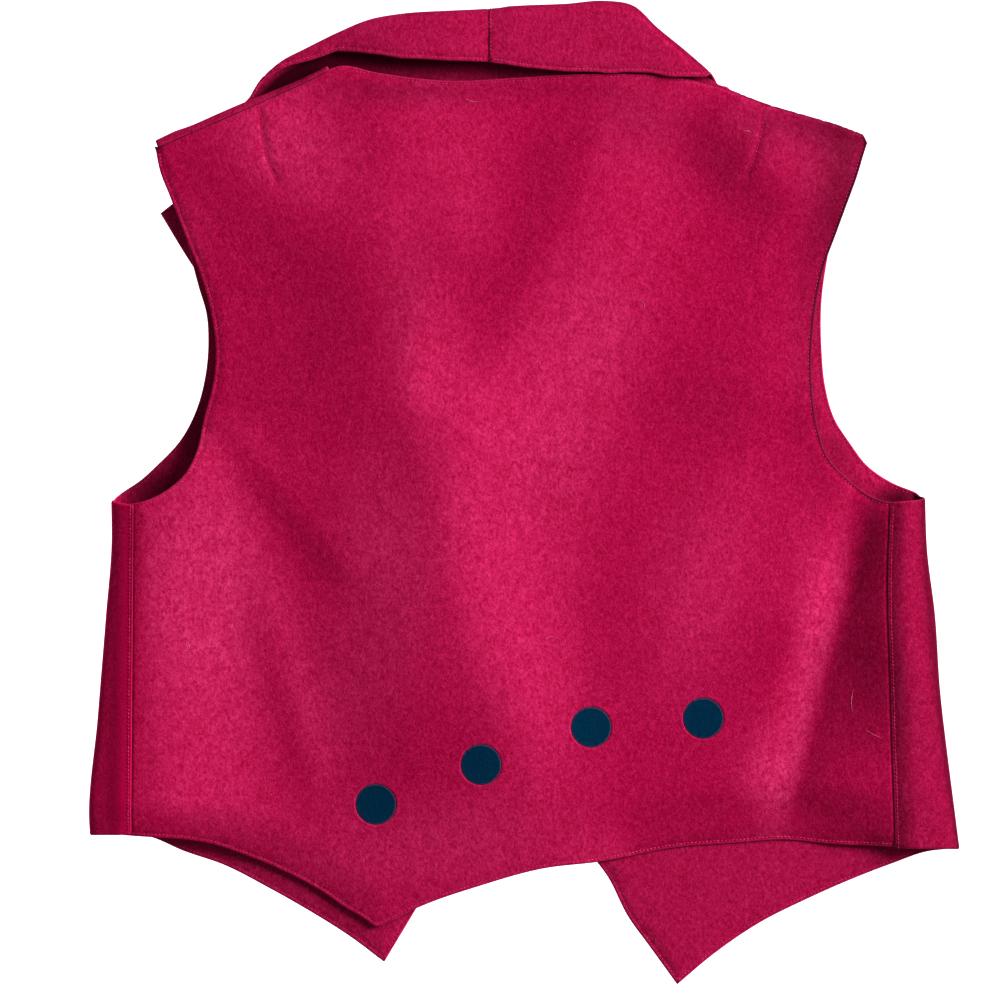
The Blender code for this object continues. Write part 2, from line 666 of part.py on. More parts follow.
def build_back(material):
    """The back panel, with its darts and the holes for the discs."""
    left = LEFT_SHOULDER_LINE
    along = np.linspace(left.length - 3.0, 4.0, 12)
    left_shoulder = left.place(along, np.full(12, -0.5))
    right = RIGHT_SHOULDER_LINE
    along = np.linspace(right.length - 1.5, 0.0, 13)
    right_shoulder = right.place(along, np.full(13, math.pi / 2 * RIGHT_SHOULDER_ROLL))
    sides = [photo_curve([(899, 503), (896, 600), (899, 700), (905, 847)][::-1]),
             photo_curve([(124, 505), (121, 834)])]
    outline = np.concatenate([
        photo_curve(LEFT_BACK_ARMHOLE)[:-1], sides[1][:-1], photo_curve(BACK_HEM)[:-1], sides[0][:-1],
        photo_curve(RIGHT_BACK_ARMHOLE), right_shoulder, photo_curve(BACK_NECK)[1:], left_shoulder])
    holes = [circle(centre, DISC_WIDTH / 2 + DISC_GAP) for centre in from_pixels(DISC_CENTRES)]
    lines = []
    for dart in DARTS:
        line = photo_curve(dart, 6.0)
        lines += [line + (shift, 0) for shift in (-DART_HALF_WIDTH, 0, DART_HALF_WIDTH)]
    for share in (0.0, 0.33, 0.67):
        lines.append(right.place(np.linspace(0, right.length - 4, 14),
                                 np.full(14, share * math.pi / 2 * RIGHT_SHOULDER_ROLL)))
    flat, faces = mesh_pattern(refine(outline, back_surface), holes, lines, BACK_STEP)
    points, faces = thicken(flat, faces, back_surface)
    add_part("back", points, faces, material)


def build_disc(number, centre, material):
    """A navy disc set into its hole in the back."""
    rim = circle(centre, DISC_WIDTH / 2)
    flat, faces = mesh_pattern(rim, [], [], 7.0)

    def surface(q):
        return np.column_stack((q, back_height(q[:, 0], q[:, 1]) - DISC_SINK))

    points, faces = thicken(flat, faces, surface)
    add_part(f"disc_{number}", points, faces, material)


def side_fold_lines(side):
    """Fold lines of a front's side, on its pattern."""
    inward = 1.0 if side == "left" else -1.0
    low_reach = SIDE_FOLD[side][0]
    y = np.linspace(up(STRIP_TOP[side]) - 4, up(STRIP_FOOT[side]) + 4, 20)
    outline, _, _, _, _, low_length, high_length = side_fold_sizes(side, y)
    lines = []
    for share in (0, 1 / 3, 2 / 3, 1):
        lines.append(np.column_stack((outline + inward * (low_reach - low_length * share), y)))
    for share in (0.15, 0.35, 0.65, 1):
        x = outline + inward * (low_reach - low_length - high_length * share)
        lines.append(np.column_stack((x, y)))
    return lines


def front_outline(side):
    """The outline of a front's pattern, with its lapel turned out flat and its side strip opened."""
    roll = roll_line(side)
    neck, breakpoint_ = from_pixels(ROLL_LINE[side])
    lapel = lapel_pattern(side, photo_curve(LAPEL_EDGE[side])[1:])
    gorge_end = lapel_pattern(side, from_pixels(GORGE[side])[:1] + (0, -0.5))
    top, foot = up(STRIP_TOP[side]), up(STRIP_FOOT[side])
    y = np.linspace(top, foot, 24)
    strip = np.column_stack((strip_pattern(side, at_height(SEAM_LINE[side], y), y), y))
    crossing = from_pixels([CROSSING])
    if side == "left":
        line = LEFT_SHOULDER_LINE
        along = np.linspace(line.length - 1.0, 1.0, 14)
        radius, _ = left_shoulder_roll(line, along)
        flap = line.place(along, math.pi * radius + 0.3)
        armhole = photo_curve(LEFT_FRONT_ARMHOLE)[::-1]
        edge = photo_curve(LEFT_FRONT_EDGE, 2 * EDGE_STEP)
        return np.concatenate([
            strip, photo_curve(LEFT_FRONT_HEM)[:-1], edge, crossing, [breakpoint_], lapel, gorge_end,
            [neck], line.place(np.array([line.length - 1.0]), np.array([-2.0])), flap,
            line.place(np.array([1.0]), np.array([0.5])), armhole,
            [(at_height(SIDE_LINE[side], top), up(500))]])
    line = RIGHT_SHOULDER_LINE
    along = np.linspace(line.length - 4.0, 2.0, 13)
    edge_out = np.full(13, RIGHT_SHOULDER_ROLL - FELT / 2 - 0.35)
    shoulder = line.place(along, edge_out)
    armhole = photo_curve(RIGHT_FRONT_ARMHOLE)[1:][::-1]
    edge = photo_curve(RIGHT_FRONT_EDGE, 2 * EDGE_STEP)
    return np.concatenate([
        strip[::-1], [(at_height(SIDE_LINE[side], top), up(496.5))], armhole, shoulder, [neck], gorge_end,
        lapel[::-1], [breakpoint_], crossing, edge[:-1], photo_curve(RIGHT_FRONT_HEM)])


def build_front(side, material):
    """A front panel: one piece with its lapel and the strip that laps the back at the side seam."""
    roll = roll_line(side)
    outline = front_outline(side)
    lines = side_fold_lines(side)
    along = np.linspace(0, roll.length, 28)
    for share in (0, 0.25, 0.5, 0.75, 1):
        lines.append(roll.place(along, np.full(28, share * math.pi * ROLL)))
    if side == "left":
        along = np.linspace(2.0, LEFT_SHOULDER_LINE.length - 2.0, 13)
        radius, _ = left_shoulder_roll(LEFT_SHOULDER_LINE, along)
        for share in (0, 0.2, 0.4, 0.6, 0.8):
            lines.append(LEFT_SHOULDER_LINE.place(along, share * math.pi * radius))

    def fine(q):
        away = np.full(len(q), np.inf)
        for area in LIFTED_BY[side]:
            away = np.minimum(away, np.abs(distance_outside(from_pixels(area), q[:, 0], q[:, 1])))
        return (away < LIFT_MARGIN + LIFT_RAMP) & (roll.split(q)[1] < 0)

    surface = front_surface(side)
    flat, faces = mesh_pattern(refine(outline, surface), [], lines, FRONT_STEP, fine)
    points, faces = thicken(flat, faces, surface)
    add_part(f"front_{side}", points, faces, material)


def build_collar(side, material):
    """One half of the collar: stand, fold and fall, lapped at the centre of the neck."""
    collar = Collar()
    first, last = (0.0, collar.seam + COLLAR_LAP) if side == "left" else (collar.seam, collar.t[-1])
    t = np.linspace(first, last, round((last - first) / 8.0) + 1)
    gap = 0.3
    under = np.column_stack((t, -(collar.under_length(t) - gap)))
    top = np.column_stack((t, collar.top_length(t)))[::-1]
    outline = np.concatenate((under, top))
    lines = []
    for share in (0.25, 0.5, 0.75, 1):
        roll = np.interp(t, collar.t, collar.roll)
        lines.append(np.column_stack((t, math.pi * np.maximum(roll, ROLL) * share)))
    lines.append(np.column_stack((t[1:-1], np.zeros(len(t) - 2))))
    flat, faces = mesh_pattern(refine(outline, collar.place), [], lines, COLLAR_STEP)

    def lapped(q):
        return (FELT + 0.3) * collar.seam_bump(q[:, 0])

    points, faces = thicken(flat, faces, collar.place, lapped if side == "left" else None)
    add_part(f"collar_{side}", points, faces, material)


def build():
    for old in list(bpy.data.objects):
        bpy.data.objects.remove(old)
    crimson = felt_material("crimson_felt", CRIMSON)
    navy = felt_material("navy_felt", NAVY)
    build_back(crimson)
    for side in ("left", "right"):
        build_front(side, crimson)
        build_collar(side, crimson)
    for number, centre in enumerate(from_pixels(DISC_CENTRES), 1):
        build_disc(number, centre, navy)


build()
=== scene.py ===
"""The looks of a short sleeveless felt vest, laid face down and seen from above.

Each piece of felt is cut flat, meshed finely, folded into the place of its CAD node, and given its edges,
sewing, nap and colour, with painted light and painted shade in that colour. Lengths are in millimetres until
an object is made, and then in metres.
Left and right are those of the view from above.
"""

import math

import bpy
import numpy as np
from mathutils.geometry import delaunay_2d_cdt
from mathutils.kdtree import KDTree
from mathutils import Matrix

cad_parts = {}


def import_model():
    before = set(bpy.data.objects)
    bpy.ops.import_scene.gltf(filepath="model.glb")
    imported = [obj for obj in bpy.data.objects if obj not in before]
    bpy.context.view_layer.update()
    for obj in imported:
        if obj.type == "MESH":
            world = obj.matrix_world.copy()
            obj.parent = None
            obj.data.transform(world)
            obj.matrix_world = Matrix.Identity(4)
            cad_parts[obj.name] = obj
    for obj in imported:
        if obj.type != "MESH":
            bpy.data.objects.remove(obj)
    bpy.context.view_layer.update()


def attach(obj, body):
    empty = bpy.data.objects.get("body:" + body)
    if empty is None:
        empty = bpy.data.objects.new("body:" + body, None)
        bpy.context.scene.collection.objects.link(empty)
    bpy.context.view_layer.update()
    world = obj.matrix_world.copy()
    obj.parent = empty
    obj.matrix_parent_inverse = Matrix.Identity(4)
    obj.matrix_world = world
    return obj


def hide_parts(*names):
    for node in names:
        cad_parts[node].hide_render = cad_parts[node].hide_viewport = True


# Driving sizes, in millimetres. SIDE_EASE is how far a side strip lies flat before it laps the back.
CHEST_WIDTH = 486.0
FELT = 1.8
SEAM_GAP = 0.5
DISC_WIDTH = 24.4
DISC_GAP = 0.14
SIDE_LAP = 6.0
SIDE_EASE = 1.5
COLLAR_LAP = 5.1

# Sewing, in millimetres: distance from a raw edge and from a seam or dart, then pitch, length, radius and
# sides of a stitch, where the first one starts, how high its ends and middle lie over the groove, how thick
# it is at its ends as a share, and how far its tips stick out. UNSEWN is a distance that no groove reaches.
STITCH_INSET = 1.8
SEAM_INSET = 1.3
STITCH_PITCH = 2.25
STITCH_LENGTH = 1.55
STITCH_RADIUS = 0.22
STITCH_SIDES = 6
STITCH_START = 0.3
STITCH_LIFTS = (-0.16, 0.10, -0.16)
STITCH_END = 0.7
STITCH_TIP = 0.1
GROOVE_DEPTH = 0.34
GROOVE_WIDTH = 0.55
UNSEWN = 99.0

# Raw edges, in millimetres: how much a face is rounded off and how far in, how much it swells behind that,
# where and how wide, how far the cut bulges out, and the least half thickness of pressed felt. Then how
# crisp the cut is round the discs.
EDGE_ROUNDING = 0.42
EDGE_REACH = 0.55
EDGE_SWELL = 0.06
SWELL_INSET = 1.0
SWELL_REACH = 0.6
EDGE_BULGE = 0.12
LEAST_HALF = 0.2
DISC_CRISP = 0.8

# Pressing, in millimetres: the felt under and in a lapped seam, and how far a lapping edge, the hem on the
# right front and the hem's corner at HEM_CORNER, in pixels, are sunk. Then how far these reach and fade.
SEAM_PRESS = 0.5
LAP_SINK = 1.4
HEM_SINK = 0.85
CORNER_SINK = 1.5
HEM_CORNER = 868
CORNER_REACH = 12.0
SINK_INSET = 1.0
LAP_FADE = 8.0
HEM_FADE = 9.0

# How much thinner a sunk hem gets, as a share of its sinking, and at most. Then how much thinner the halves
# of the collar are where they lap, and how far the right one's edge is sewn down.
HEM_THINNING = 0.45
MOST_THINNING = 0.4
LEFT_HALF_PRESS = 0.62
RIGHT_HALF_PRESS = 0.6
COLLAR_DIP = 0.12

# Where the photograph shows things: the pixels across the chest, and the pixel above the origin.
CHEST_PIXELS = 810.0
ORIGIN_PIXEL = (523.0, 491.5)
MM_PER_PIXEL = CHEST_WIDTH / CHEST_PIXELS
PHOTO_PIXELS = 1000.0
PHOTO_CENTRE = (500.0, 500.0)

# Heights of a layer's middle above the floor.
FLOOR = FELT / 2
RAISED = FLOOR + FELT + 0.6
LAP = FELT + SEAM_GAP
BACK_BASE = RAISED + LAP + 0.2
ROLL = (RAISED - FLOOR) / 2

# Mesh spacing, in millimetres. EDGE_RINGS are the distances from a raw edge at which a piece has rings of
# mesh, and SEAM_LINES the distances from a side seam at which the back has lines of mesh.
EDGE_RINGS = (0.5, 1.1, STITCH_INSET, 2.6)
SEAM_LINES = (-1.2, 0.0, 0.6, 1.3, 2.4)
EDGE_STEP = 3.2
BACK_STEP = 5.0
FRONT_STEP = 6.0
COLLAR_STEP = 4.5
DISC_STEP = 3.0
DISC_SIDES = 64
SEARCH_STEP = 0.6

# The direction along x from each side to the middle of the vest.
INWARD = {"left": 1.0, "right": -1.0}

# Outlines in pixels of the photograph: x, y.
LEFT_SHOULDER = [(154, 143), (179, 132), (223, 113), (268, 93), (301, 78), (328, 64)]
RIGHT_SHOULDER = [(684, 76), (729, 89), (762, 102), (806, 115), (840, 125), (864, 134)]
LEFT_BACK_ARMHOLE = [(156, 150), (160, 170), (170, 196), (185, 235), (202, 279), (211, 312), (216, 350),
                     (215, 372), (204, 421), (197, 453), (187, 473), (167, 491), (147, 501), (124, 505)]
RIGHT_BACK_ARMHOLE = [(899, 503), (888, 502), (874, 498), (851, 482), (827, 457), (819, 435), (811, 384),
                      (813, 322), (816, 300), (823, 268), (835, 235), (846, 205), (857, 175), (864, 152),
                      (867, 143)]
BACK_HEM = [(121, 834), (145, 836), (190, 840), (212, 844), (245, 855), (279, 869), (324, 893), (344, 907),
            (366, 920), (376, 927), (387, 923), (417, 908), (479, 886), (545, 868), (598, 862), (683, 847),
            (739, 843), (784, 840), (829, 844), (905, 847)]
BACK_NECK = [(684, 77), (630, 74), (566, 75), (515, 78), (451, 81), (420, 79), (377, 73), (338, 66.5),
             (330, 69)]
BACK_SIDES = {"left": [(124, 505), (121, 834)], "right": [(905, 847), (899, 700), (896, 600), (899, 503)]}
LEFT_FRONT_ARMHOLE = [(129, 488), (138, 482), (156, 466), (181, 439), (196, 410), (204.5, 379), (208, 340),
                      (206, 312), (199, 288), (192, 262), (176, 200), (162, 168), (154, 146)]
RIGHT_FRONT_ARMHOLE = [(862, 140), (858, 158), (852, 172), (836, 218), (827, 262), (822, 300), (822, 350),
                       (825, 383), (835, 419), (851, 444), (866, 464), (891, 482), (918, 493)]
LEFT_FRONT_HEM = [(106, 835), (145, 836), (185, 852), (223, 865), (268, 888), (312, 913), (350, 937),
                  (384, 962.5)]
RIGHT_FRONT_HEM = [(677.5, 985), (712, 956), (762, 922), (806, 900), (851, 880), (895, 863), (927, 852),
                   (952, 849)]
LEFT_FRONT_EDGE = [(384, 962.5), (416, 909), (545, 690)]
RIGHT_FRONT_EDGE = [(490, 690), (597, 862), (606, 874), (629, 918), (650, 947), (677.5, 985)]

# Where the two fronts cross, and the corners of the small area where both lie there.
CROSSING = (516, 607)
OVERLAP_AREA = [(516, 607), (545, 690), (518, 739), (490, 690)]

# The side outline and the seam of the strip that laps the back: x at each y, in pixels.
SIDE_LINE = {"left": [(113, 500), (113.5, 540), (107.5, 618), (99.5, 717), (91, 825), (92, 840)],
             "right": [(923, 496), (925, 550), (932, 610), (937, 685), (946, 760), (958, 849)]}
SEAM_LINE = {"left": [(134, 505), (132, 834)],
             "right": [(889, 503), (886, 600), (889, 700), (895, 847)]}
STRIP_TOP = {"left": 505, "right": 503}
STRIP_FOOT = {"left": 834, "right": 848}

# Side folds: reach of the under turn in millimetres, and as shares the height of the turn in the whole fold,
# the handle of the turn in the rise above it, and the handle of the top in the reach.
SIDE_FOLD = {"left": (10.0, 0.5, 0.8, 0.6), "right": (6.0, 0.62, 0.9, 0.8)}

# Lapels in pixels: where the roll line starts and ends, and the outer edge from tip to break.
ROLL_LINE = {"left": ((330, 78), (505, 575)), "right": ((682, 80), (526, 575))}
LAPEL_EDGE = {"left": [(505, 575), (400, 488), (290, 382), (194, 268), (160, 213)],
              "right": [(526, 575), (610, 496), (705, 392), (790, 282), (822, 225)]}

# Collar stations in pixels and millimetres, along its fold from the left end to the right end.
# outline x, outline y, under edge x, under edge y, width of the fall, roll, fall's drop per mm, under back
COLLAR_STATIONS = [
    (205, 137, 226, 160, 0, 0.0, 0.00, 0),
    (227, 117, 244, 145.6, 0, 0.0, 0.00, 0),
    (249, 97, 264, 129.5, 0, 0.0, 0.00, 0),
    (268, 71, 288, 110.3, 3.0, 1.2, 0.00, 0),
    (285, 58, 303, 98.3, 5.0, 1.5, 0.00, 0),
    (301, 50, 318, 86.3, 7.5, 1.9, 0.00, 0),
    (338, 32, 334, 73.5, 11.5, 2.6, 0.00, 0),
    (370, 19, 366, 83, 21.0, 3.6, -0.04, 1),
    (402, 13.4, 402, 87, 27.5, 4.4, -0.05, 1),
    (445, 10.4, 445, 91, 30.5, 4.6, -0.05, 1),
    (488.5, 7.4, 488.5, 91, 33.0, 4.6, -0.03, 1),
    (527, 5.0, 527, 88, 38.0, 4.4, 0.00, 1),
    (566, 3.5, 566, 85, 41.0, 4.1, 0.00, 1),
    (605, 0.5, 608, 84, 44.0, 4.1, 0.00, 1),
    (631, 4.5, 645, 84, 42.0, 4.2, 0.00, 1),
    (656, 27, 669, 74, 31.2, 4.4, 0.00, 0),
    (682, 48, 687, 82.5, 17.8, 4.2, 0.00, 0),
    (703, 66, 712, 109.8, 7.0, 3.2, 0.00, 0),
    (716, 77.5, 724, 122.1, 0, 2.4, 0.00, 0),
    (727, 86, 734, 132.3, 0, 0.0, 0.00, 0),
    (757, 115, 750, 148.6, 0, 0.0, 0.00, 0),
    (787, 143, 763.5, 162.4, 0, 0.0, 0.00, 0),
]
COLLAR_SEAM_STATION = 10

# Painted shade on the collar's inner face, in its left tail and under its fall, at some of its stations.
COLLAR_SHADE = [(0, 0.96), (5, 0.96), (7, 0.78), (10, 0.5), (13, 0.4), (16, 0.3), (18, 0.0)]
GORGE = {"left": [(330, 77), (160, 213)], "right": [(683, 81), (822, 225)]}

# What lies under each front and lifts it from the floor, in pixels.
LIFTED_BY = {
    "left": [
        [(330, 78), (160, 213), (194, 268), (290, 382), (400, 488), (505, 575)],
        [(345, 60), (301, 50), (249, 97), (205, 137), (226, 160), (330, 78)],
        OVERLAP_AREA,
    ],
    "right": [
        [(682, 80), (822, 225), (790, 282), (705, 392), (610, 496), (526, 575)],
        [(660, 60), (727, 86), (787, 143), (763, 163), (682, 80)],
        [(690, 76), (864, 134), (860, 150), (700, 100)],
    ],
}
LIFT_MARGIN = 4.0
LIFT_RAMP = 14.0

# Ridges of the back: start x, y and end x, y in pixels, then widths to the left and right, height and fade.
RIDGES = [
    (143, 476, 135, 800, 27, 101, 12.0, 50),
    (380, 250, 388, 400, 120, 100, 2.2, 80),
    (386, 235, 402, 370, 50, 28, 1.6, 60),
    (585, 190, 490, 410, 56, 100, 6.0, 110),
    (400, 420, 472, 690, 140, 80, 9.6, 110),
    (745, 400, 665, 600, 75, 60, 3.2, 120),
    (838, 205, 826, 380, 135, 60, 5.0, 55),
    (836, 490, 730, 790, 90, 40, 3.8, 90),
    (903, 490, 903, 650, 40, 150, 7.5, 80),
    (905, 650, 905, 780, 110, 150, 8.0, 60),
    (730, 122, 790, 190, 44, 60, 3.2, 28),
    (240, 150, 330, 240, 60, 80, 3.2, 80),
    (400, 130, 450, 230, 50, 60, 2.4, 70),
]

# Narrow creases, laid out as the ridges are.
CREASES = [
    (243, 436, 335, 548, 22, 70, 1.8, 40),
    (270, 620, 310, 760, 22, 22, 0.9, 40),
    (868, 480, 786, 830, 24, 16, -1.7, 60),
]

# The stretch of the back's hem that lies flat on a front: x and y in pixels, and how far it is pressed down
# there. Then the pixels that the pressing reaches into the back.
PRESSED_HEM = [(560, 866, 0), (640, 855, 1), (739, 843, 1), (800, 842, 1), (905, 847, 0)]
PRESSED_REACH = 62.0

# Shoulder darts in pixels.
DARTS = [[(258, 112), (263, 148), (268, 165), (275, 182)],
         [(762, 114), (761, 124), (758, 136), (754, 152), (745, 177)]]
DART_DEPTH = 0.22
DART_HALF_WIDTH = 2.2

DISC_CENTRES = [(376, 804), (481, 764), (591, 727), (703, 718)]
DISC_SINK = 0.12

# Patches of painted light and painted shade on the back: middle x, y, half width and half height in
# pixels, and how much paler each is painted, or darker where that is negative. Then how worn the nap of
# the other pieces is.
PAINTED_LIGHT_PATCHES = [
    (202, 585, 58, 90, 0.7),
    (285, 150, 70, 50, 0.4),
    (190, 225, 30, 40, 0.25),
    (385, 570, 62, 160, 0.6),
    (560, 450, 45, 90, 0.25),
    (338, 300, 50, 90, -0.4),
    (440, 190, 45, 90, -0.35),
    (590, 330, 55, 75, 0.35),
    (700, 560, 50, 110, 0.20),
    (755, 775, 32, 50, 0.25),
    (640, 118, 50, 42, -1.0),
    (728, 158, 50, 40, -1.1),
    (850, 180, 46, 110, -2.3),
    (832, 355, 34, 100, -2.1),
    (408, 310, 26, 80, -0.9),
    (500, 720, 30, 55, -0.4),
    (862, 570, 22, 80, -0.7),
    (850, 780, 36, 40, 0.25),
    (806, 610, 15, 90, 0.35),
    (765, 770, 20, 55, 0.25),
    (690, 610, 70, 110, 0.2),
    (330, 860, 60, 30, 0.15),
    (450, 840, 110, 50, 0.45),
    (330, 710, 50, 70, 0.3),
    (400, 90, 90, 16, -1.1),
    (560, 86, 90, 13, -0.7),
    (800, 118, 66, 26, -1.3),
]

PLAIN_WORN = 0.5

# How much painted highlight the back gets on slopes that lean towards the key light, how much painted shade
# a full patch gives, how much painted shade the back's raw edge gets at its upper right, and how many
# millimetres that reaches.
LEAN_PAINTED_LIGHT = 0.75
PATCH_PAINTED_SHADE = 0.26
RIM_PAINTED_SHADE = 0.65
RIM_REACH = 1.3

# Felt that turns down to the right, and so faces the key light, gets painted shade: the lean where that
# starts, the span of lean in which it grows, and how dark it gets.
TURN_PAINTED_SHADE = {"back": (0.14, 0.42, 0.75), "front": (-0.2, 0.8, 0.82), "collar": (-0.2, 0.8, 0.65)}

# The fold beside the right seam: its start and end in pixels, how much painted shade the felt gets on its
# right at both, and how much painted light on its left. In millimetres, the painted shade band grows, stays
# and fades in these widths, and the painted light band lies that far off, with that half width.
RIGHT_FOLD = ((868, 515), (787, 838))
RIGHT_FOLD_PAINTED_SHADE = (0.32, 0.0)
RIGHT_FOLD_PAINTED_LIGHT = 0.5
PAINTED_SHADE_BAND = (3.0, 16.0, 26.0)
PAINTED_LIGHT_BAND = (7.0, 8.0)

# How far the back's hem droops towards the left front, in millimetres at x in pixels.
HEM_DROOP = [(125, 0.0), (190, 1.8), (385, 1.8), (430, 0.7), (520, 0.0)]
DROOP_REACH = 24.0

# Places where a front gets painted shade, in its armholes and at the left shoulder: x, y, half width and
# half height in pixels, the height in millimetres that they lie under, and how dark the painted shade is.
POCKET_PAINTED_SHADE = {
    "left": [(150, 486, 44, 24, 6.0, 0.55), (196, 425, 22, 60, 6.0, 0.5), (290, 84, 50, 24, 30.0, 0.4)],
    "right": [(898, 497, 24, 12, 5.0, 0.92), (852, 440, 40, 55, 5.0, 0.3), (822, 320, 16, 110, 5.0, 0.3)],
}

# Loose pale fibres on the back: x, y in pixels, direction and bend in degrees, length in millimetres.
LINT = [
    (852, 713, 102, -28, 13.5),
    (863, 727, -42, 26, 12.0),
    (742, 132, 20, -70, 6.0),
    (464, 98, -34, 40, 9.5),
    (307, 142, -60, 80, 6.0),
    (752, 554, 10, 40, 2.5),
    (640, 300, -30, -70, 6.0),
    (190, 650, 80, 60, 6.0),
    (545, 640, 50, -60, 6.0),
]
LINT_RADIUS = 0.09
LINT_LIFT = 0.12
LINT_SIDES = 5
LINT_POINTS = 14

# Colours, linear.
CRIMSON = (0.388, 0.0012, 0.061)
NAVY = (0.0002, 0.034, 0.075)
NAVY_FIBRE = (0.001, 0.11, 0.20)
PALE_FIBRE = (0.90, 0.065, 0.30)
# HAZE is the pale colour of painted highlight on the back, and of an even pale tone on the other pieces.
HAZE = (0.86, 0.13, 0.36)
RIM_MAUVE = (0.42, 0.055, 0.15)
THREAD_COLOURS = ((0.48, 0.010, 0.09), (0.72, 0.06, 0.22))
LINT_COLOURS = ((0.70, 0.16, 0.32), (0.80, 0.42, 0.52))
FLOOR_COLOUR = (0.93, 0.93, 0.93)

# Camera and light, in metres and watts, and half the floor's width in millimetres.
CAMERA_HEIGHT = 3.0
SENSOR_WIDTH = 36.0
MEAN_HEIGHT = 0.006
FILL_STRENGTH = 0.215
KEY_AZIMUTH = 26.0
KEY_ELEVATION = 23.0
KEY_DISTANCE = 4.0
KEY_SIZE = 2.4
KEY_POWER = 370.0
FLOOR_POWER = 4.0
FLOOR_HALF = 6000.0
VIEW_GAMMA = 0.84
VIEW_EXPOSURE = 0.22


def from_pixels(points):
    """Places in millimetres of pixels in the photograph."""
    pixels = np.array(points, float).reshape(-1, 2)
    return (pixels - ORIGIN_PIXEL) * (MM_PER_PIXEL, -MM_PER_PIXEL)


def across(pixels):
    """The x of one pixel column, in millimetres."""
    return (pixels - ORIGIN_PIXEL[0]) * MM_PER_PIXEL


def up(pixels):
    """The y of one pixel row, in millimetres."""
    return (ORIGIN_PIXEL[1] - pixels) * MM_PER_PIXEL


def smooth(value):
    """Runs from 0 to 1 with flat ends."""
    value = np.clip(value, 0.0, 1.0)
    return value * value * (3.0 - 2.0 * value)


def falloff(value, start, width):
    """Runs from 1 at the start to 0 a width beyond it."""
    return 1 - smooth((value - start) / width)


def bell(value, middle, width):
    """1 at the middle, falling off evenly on both sides."""
    return np.exp(-(((value - middle) / width) ** 2))


def unit(vectors):
    """The vectors, scaled to a length of one."""
    return vectors / np.maximum(np.linalg.norm(vectors, axis=-1, keepdims=True), 1e-12)


def curve(points, step=EDGE_STEP):
    """A smooth path through the points, with a point at each of them and about one each step."""
    points = np.asarray(points, float)
    if len(points) < 3:
        count = max(1, round(float(np.linalg.norm(points[-1] - points[0])) / step))
        return points[0] + (points[-1] - points[0]) * np.linspace(0, 1, count + 1)[:, None]
    chord = np.linalg.norm(np.diff(points, axis=0), axis=1)
    slope = np.diff(points, axis=0) / chord[:, None]
    tangent = np.empty_like(points)
    tangent[0], tangent[-1] = slope[0], slope[-1]
    weight = (chord[:-1] + chord[1:])[:, None]
    tangent[1:-1] = (slope[:-1] * chord[1:, None] + slope[1:] * chord[:-1, None]) / weight
    path = []
    for i, length in enumerate(chord):
        count = max(1, round(length / step))
        s = (np.arange(count) / count)[:, None]
        path.append((1 + 2 * s) * (1 - s) ** 2 * points[i] + s * s * (3 - 2 * s) * points[i + 1]
                    + length * (s * (1 - s) ** 2 * tangent[i] - s * s * (1 - s) * tangent[i + 1]))
    path.append(points[-1:])
    return np.concatenate(path)


def photo_curve(points, step=EDGE_STEP):
    """A smooth path through pixels of the photograph, in millimetres."""
    return curve(from_pixels(points), step)


def at_height(table, y):
    """The x in millimetres of a line given in pixels, at heights y in millimetres."""
    line = photo_curve(table, 5.0)
    line = line[np.argsort(line[:, 1])]
    return np.interp(y, line[:, 1], line[:, 0])


def crosses(a, b, points):
    """Whether the edge from a to b crosses the ray to the right of each point."""
    between = (a[1] > points[:, 1]) != (b[1] > points[:, 1])
    rise = b[1] - a[1] if b[1] != a[1] else 1e-12
    return between & (points[:, 0] < (b[0] - a[0]) * (points[:, 1] - a[1]) / rise + a[0])


def within(corners, points):
    """Which points lie in the polygon."""
    inside = np.zeros(len(points), bool)
    for a, b in zip(corners, np.roll(corners, -1, axis=0)):
        inside ^= crosses(a, b, points)
    return inside


def path_distance(path, points):
    """How far points lie from a path."""
    nearest = np.full(len(points), np.inf)
    for a, b in zip(path[:-1], path[1:]):
        along = b - a
        s = np.clip(((points - a) @ along) / max(along @ along, 1e-12), 0, 1)
        nearest = np.minimum(nearest, np.linalg.norm(points - a - s[:, None] * along, axis=1))
    return nearest


def distance_outside(corners, x, y):
    """How far points lie from a polygon's edge, negative inside it."""
    points = np.column_stack((x, y))
    nearest = path_distance(np.vstack((corners, corners[:1])), points)
    return np.where(within(corners, points), -nearest, nearest)


def refine(outline, surface, sag=0.04):
    """The outline with points added where the folded edge would leave the surface."""
    for _ in range(5):
        ahead = np.roll(outline, -1, axis=0)
        halfway = (outline + ahead) / 2
        bend = np.linalg.norm(surface(halfway) - (surface(outline) + surface(ahead)) / 2, axis=1)
        extra = np.flatnonzero((bend > sag) & (np.linalg.norm(ahead - outline, axis=1) > 0.8))
        outline = np.insert(outline, extra + 1, halfway[extra], axis=0)
    return outline


def by_x(table, x, column):
    """The value in a column of a table whose first column is x in pixels, at x in millimetres."""
    rows = np.array(table, float)
    return np.interp(x, across(rows[:, 0]), rows[:, column])


def back_height(x, y):
    """Height of the back's middle surface over the floor."""
    height = np.full(np.shape(x), BACK_BASE)
    for x0, y0, x1, y1, left, right, rise, fade in RIDGES + CREASES:
        (start, end) = from_pixels([(x0, y0), (x1, y1)])
        along = end - start
        length = float(np.linalg.norm(along))
        along /= length
        dx, dy = x - start[0], y - start[1]
        s = dx * along[0] + dy * along[1]
        side = dy * along[0] - dx * along[1]
        width = np.where(side > 0, right, left) * MM_PER_PIXEL
        beyond = np.maximum(np.maximum(-s, s - length), 0) / (fade * MM_PER_PIXEL)
        height = height + rise * np.exp(-((side / width) ** 2) - beyond ** 2)
    return height + (FLOOR + LAP + 0.1 - height) * hem_press(x, y)


def hem_press(x, y):
    """1 where the back's hem is pressed down onto a front, and 0 away from it."""
    hem = up(by_x(PRESSED_HEM, x, 1))
    return smooth(by_x(PRESSED_HEM, x, 2)) * falloff(y, hem, PRESSED_REACH * MM_PER_PIXEL)


